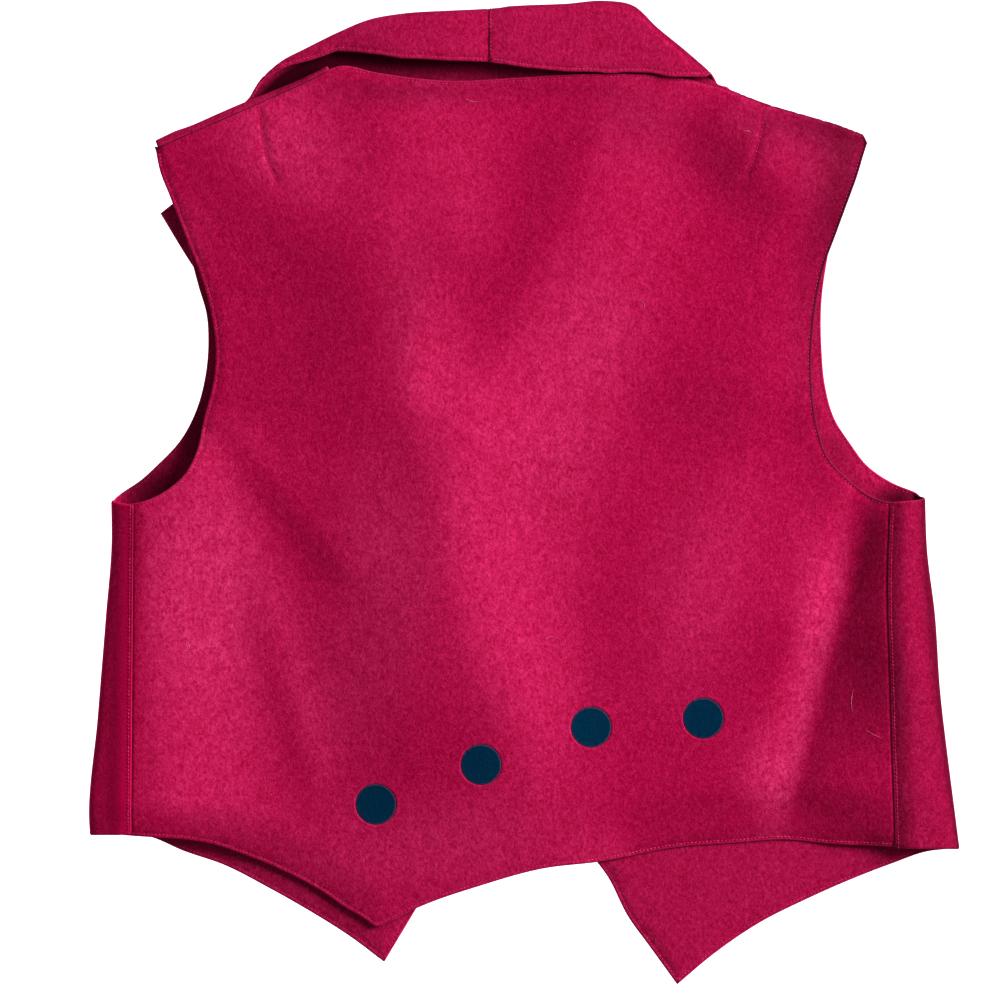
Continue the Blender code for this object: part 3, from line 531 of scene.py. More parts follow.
def dart_depth(x, y):
    """How deep the dart's sewn lines sink the back."""
    points = np.column_stack((x, y))
    depth = np.zeros(len(points))
    for dart in DARTS:
        nearest = path_distance(photo_curve(dart), points)
        depth = np.maximum(depth, DART_DEPTH * falloff(nearest, 0, DART_HALF_WIDTH))
    return depth


def front_height(side, x, y):
    """Height of a front's middle surface where it lies flat."""
    lift = np.zeros(len(x))
    for area in LIFTED_BY[side]:
        away = distance_outside(from_pixels(area), x, y)
        lift = np.maximum(lift, falloff(away, LIFT_MARGIN, LIFT_RAMP))
    return FLOOR + (RAISED - FLOOR) * lift


class FoldLine:
    """A line on the pattern, with its direction, the direction out of the piece and a bow from straight."""

    def __init__(self, start, end, outward_hint, bow=None):
        self.start = start
        self.length = float(np.linalg.norm(end - start))
        self.along = (end - start) / self.length
        self.out = np.array((-self.along[1], self.along[0]))
        if self.out @ np.asarray(outward_hint, float) < 0:
            self.out = -self.out
        self.bow = None
        if bow is not None:
            rows = np.column_stack(((bow - start) @ self.along, (bow - start) @ self.out))
            self.bow = rows[np.argsort(rows[:, 0])]

    def split(self, q):
        """Distance along the line and distance beyond it, for pattern points."""
        along = (q - self.start) @ self.along
        return along, (q - self.start) @ self.out - self.offset(along)

    def offset(self, along):
        if self.bow is None:
            return np.zeros(np.shape(along))
        return np.interp(along, self.bow[:, 0], self.bow[:, 1])

    def place(self, along, beyond):
        """Points at these distances along the line and beyond it."""
        out = np.asarray(self.offset(along) + beyond)
        return self.start + np.multiply.outer(along, self.along) + np.multiply.outer(out, self.out)


def shoulder_line(table, inset, outward_hint):
    """The fold line that lies inside a shoulder's outline by the inset."""
    outline = photo_curve(table, 5.0)
    line = FoldLine(outline[0], outline[-1], outward_hint, outline)
    line.bow = line.bow - np.array((0.0, inset))
    return line


LEFT_SHOULDER_INSET = (BACK_BASE + LAP - RAISED) / 2 + FELT / 2
RIGHT_SHOULDER_ROLL = (BACK_BASE - FLOOR) / 2
LEFT_SHOULDER_LINE = shoulder_line(LEFT_SHOULDER, LEFT_SHOULDER_INSET, (-1, 1))
RIGHT_SHOULDER_LINE = shoulder_line(RIGHT_SHOULDER, RIGHT_SHOULDER_ROLL + FELT / 2, (1, 1))


def left_shoulder_roll(line, along):
    """Radius of the left shoulder's fold, and the height where it starts."""
    axis = line.place(along, np.zeros(np.shape(along)))
    low = front_height("left", axis[:, 0], axis[:, 1])
    high = back_height(axis[:, 0], axis[:, 1]) + LAP
    return (high - low) / 2, low


def roll_line(side):
    """The line where a front turns under as a lapel."""
    start, end = from_pixels(ROLL_LINE[side])
    return FoldLine(start, end, (INWARD[side], 0))


def lapel_pattern(side, points):
    """Pattern places of a lapel's points, given where they lie once turned under."""
    line = roll_line(side)
    along, beyond = line.split(points)
    return line.place(along, -beyond + math.pi * ROLL)


def side_fold_sizes(side, y):
    """Sizes of the side fold at heights y: outline, reach, turn, top, its slope, and both lengths."""
    inward = INWARD[side]
    low_reach, share, _, _ = SIDE_FOLD[side]
    outline = at_height(SIDE_LINE[side], y)
    seam = at_height(SEAM_LINE[side], y)
    reach = inward * (seam - outline) - SIDE_LAP - SIDE_EASE
    top_x = outline + inward * reach
    top = back_height(top_x, y) + LAP
    turn = FLOOR + share * (top - FLOOR)
    slope = (back_height(top_x + inward, y) - back_height(top_x - inward, y)) / 2
    low_length = math.pi / 2 * np.hypot(low_reach, turn - FLOOR) / math.sqrt(2)
    high_length = math.pi / 2 * np.hypot(reach, top - turn) / math.sqrt(2)
    return outline, reach, turn, top, slope, low_length, high_length


def strip_pattern(side, x, y):
    """Pattern x of a point of the strip that lies on the back."""
    inward = INWARD[side]
    outline, reach, _, _, _, low_length, high_length = side_fold_sizes(side, y)
    past = inward * (x - outline) - reach
    return outline + inward * (SIDE_FOLD[side][0] - low_length - high_length - past)


def fold_side(side, x, y):
    """Where pattern points of a front lie, with its side turned up over the back."""
    inward = INWARD[side]
    low_reach, _, turn_handle, top_handle = SIDE_FOLD[side]
    outline, reach, turn, top, slope, low_length, high_length = side_fold_sizes(side, y)
    w = inward * (x - outline)
    flat = front_height(side, x, y)
    angle = np.clip((low_reach - w) / low_length, 0, 1) * math.pi / 2
    plan = np.where(w > low_reach, w, low_reach * (1 - np.sin(angle)))
    height = np.where(w > low_reach, flat, flat + (turn - flat) * (1 - np.cos(angle)))
    s = np.clip((low_reach - low_length - w) / high_length, 0, 1)
    handle = top_handle * reach
    a, b, c, d = (1 - s) ** 3, 3 * s * (1 - s) ** 2, 3 * s * s * (1 - s), s ** 3
    rising = low_reach - low_length - w > 0
    plan = np.where(rising, c * (reach - handle) + d * reach, plan)
    side_rise = a * turn + b * (turn + turn_handle * (top - turn)) + c * (top - slope * handle) + d * top
    height = np.where(rising, side_rise, height)
    past = low_reach - low_length - high_length - w
    plan = np.where(past > 0, reach + past, plan)
    on_top = outline + inward * plan
    height = np.where(past > 0, back_height(on_top, y) + LAP, height)
    return np.column_stack((on_top, y, height))


def half_turn(beyond, radius):
    """How far out, and how far over or under its start, a sheet lies that turns back at a fold line."""
    angle = np.clip(beyond / radius, 0, math.pi)
    out = np.where(angle < math.pi, radius * np.sin(angle), math.pi * radius - beyond)
    return out, radius * (1 - np.cos(angle))


def front_surface(side):
    """The folding of a front: flat on the floor, side turned up, lapel under, and the left shoulder over."""
    roll = roll_line(side)

    def place(q):
        places = fold_side(side, q[:, 0], q[:, 1])
        along, beyond = roll.split(q)
        turned = (beyond > 0) & (along > -1.0)
        out, drop = half_turn(beyond, ROLL)
        places[turned] = np.column_stack((roll.place(along, out), RAISED - drop))[turned]
        if side == "left":
            along, beyond = LEFT_SHOULDER_LINE.split(q)
            over = (beyond > 0) & ~turned & (q[:, 1] > up(200))
            radius, low = left_shoulder_roll(LEFT_SHOULDER_LINE, along)
            out, rise = half_turn(beyond, radius)
            plan = LEFT_SHOULDER_LINE.place(along, np.zeros(len(q))) + out[:, None] * LEFT_SHOULDER_LINE.out
            places[over] = np.column_stack((plan, low + rise))[over]
        return places

    return place


def back_surface(q):
    """The folding of the back: over the fronts, with its right shoulder rolled down."""
    height = back_height(q[:, 0], q[:, 1]) - dart_depth(q[:, 0], q[:, 1])
    places = np.column_stack((q, height))
    along, beyond = RIGHT_SHOULDER_LINE.split(q)
    rolled = (beyond > 0) & (q[:, 1] > up(160)) & (q[:, 0] > across(600))
    axis = RIGHT_SHOULDER_LINE.place(along, np.zeros(len(q)))
    angle = beyond / RIGHT_SHOULDER_ROLL
    plan = axis + (RIGHT_SHOULDER_ROLL * np.sin(angle))[:, None] * RIGHT_SHOULDER_LINE.out
    drop = RIGHT_SHOULDER_ROLL * (1 - np.cos(angle))
    lowered = np.column_stack((plan, back_height(axis[:, 0], axis[:, 1]) - drop))
    places[rolled] = lowered[rolled]
    return places


def disc_surface(q):
    """A disc lies just under the face of the back."""
    return np.column_stack((q, back_height(q[:, 0], q[:, 1]) - DISC_SINK))


class Collar:
    """The collar's stations, as functions of the distance t along its fold."""

    def __init__(self):
        rows = np.array(COLLAR_STATIONS, float)
        self.outline = from_pixels(rows[:, 0:2])
        self.under = from_pixels(rows[:, 2:4])
        self.t = np.concatenate(([0], np.cumsum(np.linalg.norm(np.diff(self.outline, axis=0), axis=1))))
        self.fall, self.roll, self.drop, self.tucked = rows[:, 4:8].T
        self.path = curve(self.outline, 2.0)
        self.path_t = self.station_distance(self.path)
        self.seam = self.t[COLLAR_SEAM_STATION]

    def station_distance(self, path):
        """The station distance of each path point, so that stations keep their own."""
        tree = tree_of(path)
        marks = [tree.find((point[0], point[1], 0.0))[1] for point in self.outline]
        return np.interp(np.arange(len(path)), marks, self.t)

    def sections(self, t):
        """Outline, direction to the under edge, distance to it, inset of the fold, and roll at t."""
        outline = np.column_stack([np.interp(t, self.path_t, self.path[:, k]) for k in (0, 1)])
        under = np.column_stack([np.interp(t, self.t, self.under[:, k]) for k in (0, 1)])
        reach = np.linalg.norm(under - outline, axis=1)
        inward = (under - outline) / reach[:, None]
        roll = np.interp(t, self.t, self.roll)
        inset = roll * (1 + FELT / 2 / ROLL) * (roll < ROLL) + (roll + FELT / 2) * (roll >= ROLL)
        return outline, inward, reach, inset, roll

    def top_length(self, t):
        """Length of cloth past the fold's start, which is 0 where the collar has no fall on top."""
        roll, fall = self.roll, self.fall
        length = np.where(fall > 0, math.pi * roll + fall - roll - FELT / 2, 0.0)
        return np.interp(t, self.t, length)

    def under_length(self, t):
        _, _, reach, inset, _ = self.sections(t)
        return reach - inset

    def seam_bump(self, t):
        """1 at the collar's centre seam and 0 away from it."""
        return falloff(np.abs(t - self.seam - COLLAR_LAP / 2), 4.0, 34.0)

    def under_lap(self, q):
        """How far the left half lies inside the right one, pressed thin."""
        return LEFT_HALF_PRESS * self.seam_bump(q[:, 0])

    def over_lap(self, q):
        """How far the right half's edge is sewn down into the left one."""
        return COLLAR_DIP * bell(q[:, 0], self.seam, 1.2)

    def pressed(self, q, side):
        """How much thinner than its plain half the felt is where the halves lap."""
        past = q[:, 0] - self.seam
        if side == "left":
            return LEFT_HALF_PRESS * smooth((past + 2.2) / 2.5)
        return RIGHT_HALF_PRESS * falloff(past, 6.0, 6.0) + self.over_lap(q)

    def shade(self, q):
        """Painted shade on the inner face, most in the left tail away from the rim."""
        t, m = q[:, 0], -q[:, 1]
        stations, depths = zip(*COLLAR_SHADE)
        depth = np.interp(t, self.t[list(stations)], depths)
        return depth * smooth((m + 1.0) / 6.0)

    def place(self, q):
        """Where pattern points lie: x is t, y is minus the distance under the fold."""
        t, m = q[:, 0], -q[:, 1]
        outline, inward, reach, inset, roll = self.sections(t)
        axis = outline + inward * inset[:, None]
        under = axis + inward * np.maximum(m, 0)[:, None]
        length = reach - inset
        end = axis + inward * length[:, None]
        rest = back_height(end[:, 0], end[:, 1]) - LAP - (FELT + 0.3) * self.seam_bump(t)
        rest = FLOOR + (rest - FLOOR) * np.interp(t, self.t, self.tucked)
        low = FLOOR + (rest - FLOOR) * smooth((m / length - 0.55) / 0.4)
        radius = np.maximum(roll, ROLL)
        angle = np.clip(-m / radius, 0, math.pi)
        past = np.maximum(-m - math.pi * radius, 0)
        plan = axis + inward * (past - radius * np.sin(angle))[:, None]
        drop = np.interp(t, self.t, self.drop)
        high = FLOOR + radius * (1 - np.cos(angle)) - drop * past
        plan = np.where((m > 0)[:, None], under, plan)
        return np.column_stack((plan, np.where(m > 0, low, high)))


def join(edges):
    """One closed outline of edges that follow each other."""
    outline = np.concatenate(list(edges))
    apart = np.linalg.norm(outline - np.roll(outline, 1, axis=0), axis=1) > 0.2
    return outline[apart]


def inset_path(path, distance):
    """The path moved into the piece, which lies to its left."""
    path = dense(path, 1.0)
    ahead = unit(np.gradient(path, axis=0))
    return path + distance * np.column_stack((-ahead[:, 1], ahead[:, 0]))


def dense(ring, step=SEARCH_STEP):
    """Points at least every step along a path."""
    parts = [ring[:1]]
    for a, b in zip(ring[:-1], ring[1:]):
        count = max(1, math.ceil(float(np.linalg.norm(b - a)) / step))
        parts.append(a + (b - a) * (np.arange(1, count + 1) / count)[:, None])
    return np.concatenate(parts)


def tree_of(points):
    """A search tree of flat points."""
    tree = KDTree(len(points))
    for k, point in enumerate(points):
        tree.insert((point[0], point[1], 0.0), k)
    tree.balance()
    return tree


def away_from(tree, points):
    """Distance of each flat point to the nearest in the tree."""
    return np.array([tree.find((p[0], p[1], 0.0))[2] for p in points])


def on_piece(outline, holes, points):
    """Which points lie inside the outline and outside every hole."""
    inside = within(outline, points)
    for hole in holes:
        inside &= ~within(hole, points)
    return inside


def grid_points(outline, holes, spacing):
    """A triangular grid inside the outline."""
    low, high = outline.min(axis=0), outline.max(axis=0)
    rise = spacing * math.sqrt(3) / 2
    j, i = np.meshgrid(np.arange(int((high[1] - low[1]) / rise) + 2),
                       np.arange(int((high[0] - low[0]) / spacing) + 2), indexing="ij")
    i, j = i.ravel(), j.ravel()
    grid = np.column_stack((low[0] + (i + 0.5 * (j % 2)) * spacing, low[1] + j * rise))
    return grid[on_piece(outline, holes, grid)]


def mesh_pattern(outline, holes, lines, spacing):
    """Points, triangles and distance from the raw edge of a flat pattern piece, counter-clockwise."""
    rings = [outline, *holes]
    closed = [np.vstack((ring, ring[:1])) for ring in rings]
    edge_tree = tree_of(np.concatenate([dense(ring) for ring in closed]))
    points, edges = [], []
    for ring in rings:
        first, count = len(points), len(ring)
        points.extend(map(tuple, ring))
        edges.extend((first + k, first + (k + 1) % count) for k in range(count))
    extra = []
    for ring, sign in zip(closed, [1] + [-1] * len(holes)):
        ahead = unit(np.roll(ring[:-1], -1, axis=0) - np.roll(ring[:-1], 1, axis=0))
        inward = np.column_stack((-ahead[:, 1], ahead[:, 0])) * sign
        for distance in EDGE_RINGS:
            moved = ring[:-1] + distance * inward
            extra.append(moved[away_from(edge_tree, moved) > 0.9 * distance])
    extra += [clip_line(line, outline, edge_tree) for line in lines]
    extra = np.concatenate([part for part in extra if len(part)])
    taken = tree_of(np.concatenate((extra, *rings)))
    grid = grid_points(outline, holes, spacing)
    grid = grid[away_from(taken, grid) > 0.55 * spacing]
    points.extend(map(tuple, extra))
    points.extend(map(tuple, grid))
    flat, _, faces, _, _, _ = delaunay_2d_cdt(points, edges, [], 0, 1e-4)
    flat, faces = np.array(flat), np.array(faces)
    keep = on_piece(outline, holes, flat[faces].mean(axis=1))
    a, b, c = (flat[faces[:, k]] for k in range(3))
    area = (b[:, 0] - a[:, 0]) * (c[:, 1] - a[:, 1]) - (b[:, 1] - a[:, 1]) * (c[:, 0] - a[:, 0])
    faces[area < 0] = faces[area < 0][:, ::-1]
    faces = faces[keep & (np.abs(area) > 1e-6)]
    used, index = np.unique(faces, return_inverse=True)
    flat = flat[used]
    return flat, index.reshape(-1, 3), away_from(edge_tree, flat)


def clip_line(line, outline, edge_tree):
    """The points of a fold line that lie in the pattern, clear of its edge."""
    return line[within(outline, line) & (away_from(edge_tree, line) > 0.8)]


def normals(surface, q):
    """The folded pattern's unit normals."""
    step = 0.02
    across_x = surface(q + (step, 0)) - surface(q - (step, 0))
    across_y = surface(q + (0, step)) - surface(q - (0, step))
    return unit(np.cross(across_x, across_y))


def half_thickness(edge, sewn, crisp=0.0):
    """Half the felt's thickness, rounded at a raw edge unless that is crisp, and pulled in by sewing."""
    rounding = EDGE_ROUNDING * (1 - crisp) * bell(edge, 0, EDGE_REACH)
    swell = EDGE_SWELL * bell(edge, SWELL_INSET, SWELL_REACH)
    return FELT / 2 - rounding + swell - GROOVE_DEPTH * bell(sewn, 0, GROOVE_WIDTH)


def wall(flat, faces, edge, sewn, surface, offset=None, pressed=0.0, crisp=0.0):
    """Points and triangles of a closed wall of felt, and the pattern point that each point comes from."""
    middle, normal = surface(flat), normals(surface, flat)
    if offset is not None:
        middle = middle + normal * offset(flat)[:, None]
    half = np.maximum(half_thickness(edge, sewn, crisp) - pressed, LEAST_HALF)[:, None]
    count = len(flat)
    pairs = np.concatenate((faces[:, [0, 1]], faces[:, [1, 2]], faces[:, [2, 0]])).tolist()
    forward = {tuple(pair) for pair in pairs}
    rim = np.array([pair for pair in pairs if (pair[1], pair[0]) not in forward])
    ends = np.unique(rim)
    place = np.full(count, -1)
    place[ends] = 2 * count + np.arange(len(ends))
    out = np.zeros((count, 3))
    step = middle[rim[:, 1]] - middle[rim[:, 0]]
    side = unit(np.cross(step, normal[rim[:, 0]]))
    np.add.at(out, rim[:, 0], side)
    np.add.at(out, rim[:, 1], side)
    bulge = middle[ends] + EDGE_BULGE * unit(out[ends])
    points = np.concatenate((middle + normal * half, middle - normal * half, bulge))
    a, b = rim[:, 0], rim[:, 1]
    sides = np.concatenate([
        np.column_stack((b, a, place[a])), np.column_stack((b, place[a], place[b])),
        np.column_stack((place[b], place[a], a + count)), np.column_stack((place[b], a + count, b + count))])
    faces = np.concatenate((faces, faces[:, ::-1] + count, sides))
    return points, faces, np.concatenate((np.arange(count), np.arange(count), ends))


def lean(surface, flat):
    """How far a pattern's points lean to the upper right, as a share, and whether they face up."""
    normal = normals(surface, flat)
    azimuth = math.radians(KEY_AZIMUTH)
    return normal[:, 0] * math.cos(azimuth) + normal[:, 1] * math.sin(azimuth), normal[:, 2] > 0.2


def pale_tone_and_painted_light(surface, flat):
    """Painted highlight: paler on the slopes that lean to the upper right, towards the key light."""
    share, facing_up = lean(surface, flat)
    return smooth(0.5 + share / 0.34) * facing_up


def turned_shade(piece, surface, flat, face=1):
    """Painted shade on one face of the felt where it turns down to the right, towards the key light."""
    start, span, most = TURN_PAINTED_SHADE[piece]
    share, _ = lean(surface, flat)
    return most * smooth((face * share - start) / span)


def right_fold_painted_light(flat):
    """Painted light and painted shade on either side of the fold beside the right seam."""
    start, end = from_pixels(RIGHT_FOLD)
    line = FoldLine(start, end, (1, 0))
    along, beyond = line.split(flat)
    share = along / line.length
    ends = smooth((share + 0.06) / 0.12) * smooth((1.1 - share) / 0.2)
    depth = np.interp(share, (0, 1), RIGHT_FOLD_PAINTED_SHADE)
    grow, stay, fade = PAINTED_SHADE_BAND
    painted_shade = depth * smooth(beyond / grow) * falloff(beyond, stay, fade) * ends
    offset, half_width = PAINTED_LIGHT_BAND
    pale = RIGHT_FOLD_PAINTED_LIGHT * bell(beyond, -offset, half_width) * ends * smooth(share / 0.35)
    return pale, painted_shade


def patch(points, x, y, half_width, half_height):
    """1 in the middle of a soft oval patch, and 0 away from it."""
    away = (points - from_pixels([(x, y)])[0]) / (half_width * MM_PER_PIXEL, half_height * MM_PER_PIXEL)
    return np.exp(-(away ** 2).sum(axis=1))


def painted_light_patches(flat):
    """How much painted light and how much painted shade the back gets in its patches."""
    pale, painted_shade = np.zeros(len(flat)), np.zeros(len(flat))
    for *oval, strength in PAINTED_LIGHT_PATCHES:
        tone = pale if strength > 0 else painted_shade
        tone += abs(strength) * patch(flat, *oval)
    return pale, painted_shade


def add_object(name, data):
    """A new object in the scene."""
    item = bpy.data.objects.new(name, data)
    bpy.context.scene.collection.objects.link(item)
    return item


def add_mesh(name, points, faces, material, attributes=None):
    """A smooth named mesh, with lengths turned from millimetres to metres."""
    mesh = bpy.data.meshes.new(name)
    mesh.from_pydata((points / 1000).tolist(), [], faces.tolist())
    mesh.shade_smooth()
    for key, values in (attributes or {}).items():
        mesh.attributes.new(key, "FLOAT", "POINT").data.foreach_set("value", values.astype(np.float32))
    mesh.materials.append(material)
    return add_object(name, mesh)


def add_felt(name, pattern, surface, sewn, material, marks, offset=None, pressed=0.0, crisp=0.0):
    """A piece of felt from its meshed pattern, with the marks at its points that its material reads."""
    flat, faces, edge = pattern
    distance = sewn_distance(flat, sewn) if sewn else np.full(len(flat), UNSEWN)
    points, faces, source = wall(flat, faces, edge, distance, surface, offset, pressed, crisp)
    marks = {key: values[source] for key, values in {"edge_mm": edge, **marks}.items()}
    return add_mesh(name, points, faces, material, marks)


def stitch_places(path, surface, offset, face):
    """Start, middle and end of each stitch along a path on the pattern, on one face of the felt."""
    places = surface(path)
    length = np.concatenate(([0], np.cumsum(np.linalg.norm(np.diff(places, axis=0), axis=1))))
    count = int((length[-1] - STITCH_LENGTH) / STITCH_PITCH)
    if count < 1:
        return np.zeros((0, 3, 3)), np.zeros((0, 3))
    starts = np.arange(count) * STITCH_PITCH + STITCH_START
    marks = starts[:, None] + np.array((0, 0.5, 1.0)) * STITCH_LENGTH
    q = np.column_stack([np.interp(marks.ravel(), length, path[:, k]) for k in (0, 1)])
    normal = normals(surface, q)
    middle = surface(q)
    if offset is not None:
        middle = middle + normal * offset(q)[:, None]
    lift = np.tile((FELT / 2 - GROOVE_DEPTH) + np.array(STITCH_LIFTS), count)
    middle = middle + face * normal * lift[:, None]
    return middle.reshape(-1, 3, 3), (face * normal).reshape(-1, 3, 3)[:, 1]


def rings_round(sides, first, second):
    """A ring of directions at each place, in the plane of two unit vectors."""
    angle = np.linspace(0, 2 * math.pi, sides, endpoint=False)
    return np.cos(angle)[None, :, None] * first[:, None] + np.sin(angle)[None, :, None] * second[:, None]


def tube_faces(rows, sides):
    """The triangles between the rings of an open tube."""
    faces = []
    for row in range(rows - 1):
        for k in range(sides):
            a, b = sides * row + k, sides * row + (k + 1) % sides
            faces += [(a, b, b + sides), (a, b + sides, a + sides)]
    return faces


def add_stitches(name, sewn, surface, offset, material):
    """One mesh of all the stitches on both faces of a piece."""
    runs = [stitch_places(path, surface, offset, face) for path in sewn for face in (1, -1)]
    places, ups = (np.concatenate(parts) for parts in zip(*runs))
    count = len(places)
    ahead = unit(places[:, 2] - places[:, 0])
    side = unit(np.cross(ahead, ups))
    ring = rings_round(STITCH_SIDES, side, np.cross(side, ahead))
    radii = STITCH_RADIUS * np.array((STITCH_END, 1, STITCH_END))
    rows = [places[:, k, None] + ring * radius for k, radius in enumerate(radii)]
    tips = [(places[:, 0] - ahead * STITCH_TIP)[:, None], (places[:, 2] + ahead * STITCH_TIP)[:, None]]
    points = np.concatenate(rows + tips, axis=1).reshape(-1, 3)
    one = tube_faces(len(rows), STITCH_SIDES)
    last, tip = STITCH_SIDES * (len(rows) - 1), STITCH_SIDES * len(rows)
    for k in range(STITCH_SIDES):
        n = (k + 1) % STITCH_SIDES
        one += [(tip, n, k), (tip + 1, last + k, last + n)]
    faces = (np.array(one)[None] + (tip + 2) * np.arange(count)[:, None, None]).reshape(-1, 3)
    return add_mesh(name, points, faces, material)


def add_lint(material):
    """Loose curled fibres that lie on the back, as one mesh."""
    points = []
    share = np.linspace(0, 1, LINT_POINTS)
    taper = LINT_RADIUS * np.sin(math.pi * (0.08 + 0.84 * share))
    for x, y, direction, bend, length in LINT:
        heading = np.radians(direction + bend * share)
        step = length / (LINT_POINTS - 1) * np.column_stack((np.cos(heading), np.sin(heading)))
        path = from_pixels([(x, y)])[0] + np.cumsum(step, axis=0)
        normal = normals(back_surface, path)
        centre = back_surface(path) + normal * (FELT / 2 + LINT_LIFT)
        side = np.cross(unit(np.gradient(centre, axis=0)), normal)
        points.append(centre[:, None] + rings_round(LINT_SIDES, side, normal) * taper[:, None, None])
    one = np.array(tube_faces(LINT_POINTS, LINT_SIDES))
    first = LINT_SIDES * LINT_POINTS * np.arange(len(LINT))
    faces = (one[None] + first[:, None, None]).reshape(-1, 3)
    return add_mesh("lint", np.concatenate(points).reshape(-1, 3), faces, material)


class Shader:
    """A material's nodes, with short calls for those that the felt needs."""

    def __init__(self, name):
        self.material = bpy.data.materials.new(name)
        self.material.use_nodes = True
        self.tree = self.material.node_tree
        self.principled = self.tree.nodes["Principled BSDF"]
        coordinates = self.tree.nodes.new("ShaderNodeTexCoord")
        self.place = coordinates.outputs["Object"]

    def put(self, kind, inputs=(), **settings):
        node = self.tree.nodes.new(kind)
        for key, value in settings.items():
            setattr(node, key, value)
        for key, value in dict(inputs).items():
            if isinstance(value, bpy.types.NodeSocket):
                self.tree.links.new(value, node.inputs[key])
            else:
                node.inputs[key].default_value = value
        return node

    def scaled(self, scale, shift=0.0):
        """The object's coordinates times a scale for each axis, and moved."""
        inputs = {"Vector": self.place, "Scale": scale, "Location": (shift, shift, shift)}
        return self.put("ShaderNodeMapping", inputs).outputs["Vector"]

    def noise(self, vector, detail=2.0, roughness=0.5, distortion=0.0):
        inputs = {"Vector": vector, "Scale": 1.0, "Detail": detail, "Roughness": roughness,
                  "Distortion": distortion}
        return self.put("ShaderNodeTexNoise", inputs).outputs["Fac"]

    def ramp(self, factor, low, high, start=0.0, end=1.0):
        """Maps a factor from one range to another."""
        inputs = {"Value": factor, "From Min": low, "From Max": high, "To Min": start, "To Max": end}
        return self.put("ShaderNodeMapRange", inputs).outputs["Result"]

    def mix(self, factor, a, b, blend="MIX"):
        node = self.put("ShaderNodeMix", data_type="RGBA", blend_type=blend)
        for index, value in ((0, factor), (6, a), (7, b)):
            if isinstance(value, bpy.types.NodeSocket):
                self.tree.links.new(value, node.inputs[index])
            elif index == 0:
                node.inputs[index].default_value = value
            else:
                node.inputs[index].default_value = (*value, 1.0)
        return node.outputs[2]

    def math(self, operation, a, b=0.0):
        return self.put("ShaderNodeMath", {0: a, 1: b}, operation=operation).outputs["Value"]

    def times(self, a, b):
        return self.math("MULTIPLY", a, b)

    def plus(self, a, b):
        return self.math("ADD", a, b)

    def attribute(self, name):
        """A value that each point of the mesh carries."""
        node = self.put("ShaderNodeAttribute", attribute_type="GEOMETRY", attribute_name=name)
        return node.outputs["Fac"]

    def finish(self, colour, height, strength, distance, plain):
        """The material with its colour, its bump, and the values that are the same all over it."""
        for name, value in plain.items():
            self.principled.inputs[name].default_value = value
        bump = self.put("ShaderNodeBump", {"Height": height, "Strength": strength, "Distance": distance})
        self.tree.links.new(colour, self.principled.inputs["Base Color"])
        self.tree.links.new(bump.outputs["Normal"], self.principled.inputs["Normal"])
        return self.material


def tinted(colour, factor, pale=0.0, fibre=PALE_FIBRE):
    """A colour made darker or lighter, and then mixed with that of the pale fibres."""
    return tuple(min(1.0, c * factor) * (1 - pale) + pale * p for c, p in zip(colour, fibre))


def deep(colour):
    """The colour between the fibres, darker and purer."""
    return (0.73 * colour[0], 0.25 * colour[1], 0.45 * colour[2])


def fibre_lines(s, scale, shift, width):
    """Thin curly lines, 1 on a line and 0 away from it."""
    warped = s.noise(s.scaled((scale, 0.8 * scale, scale), shift), 1.5, 0.5, 1.2)
    away = s.math("ABSOLUTE", s.math("SUBTRACT", warped, 0.5))
    return s.ramp(away, width, 0.0)


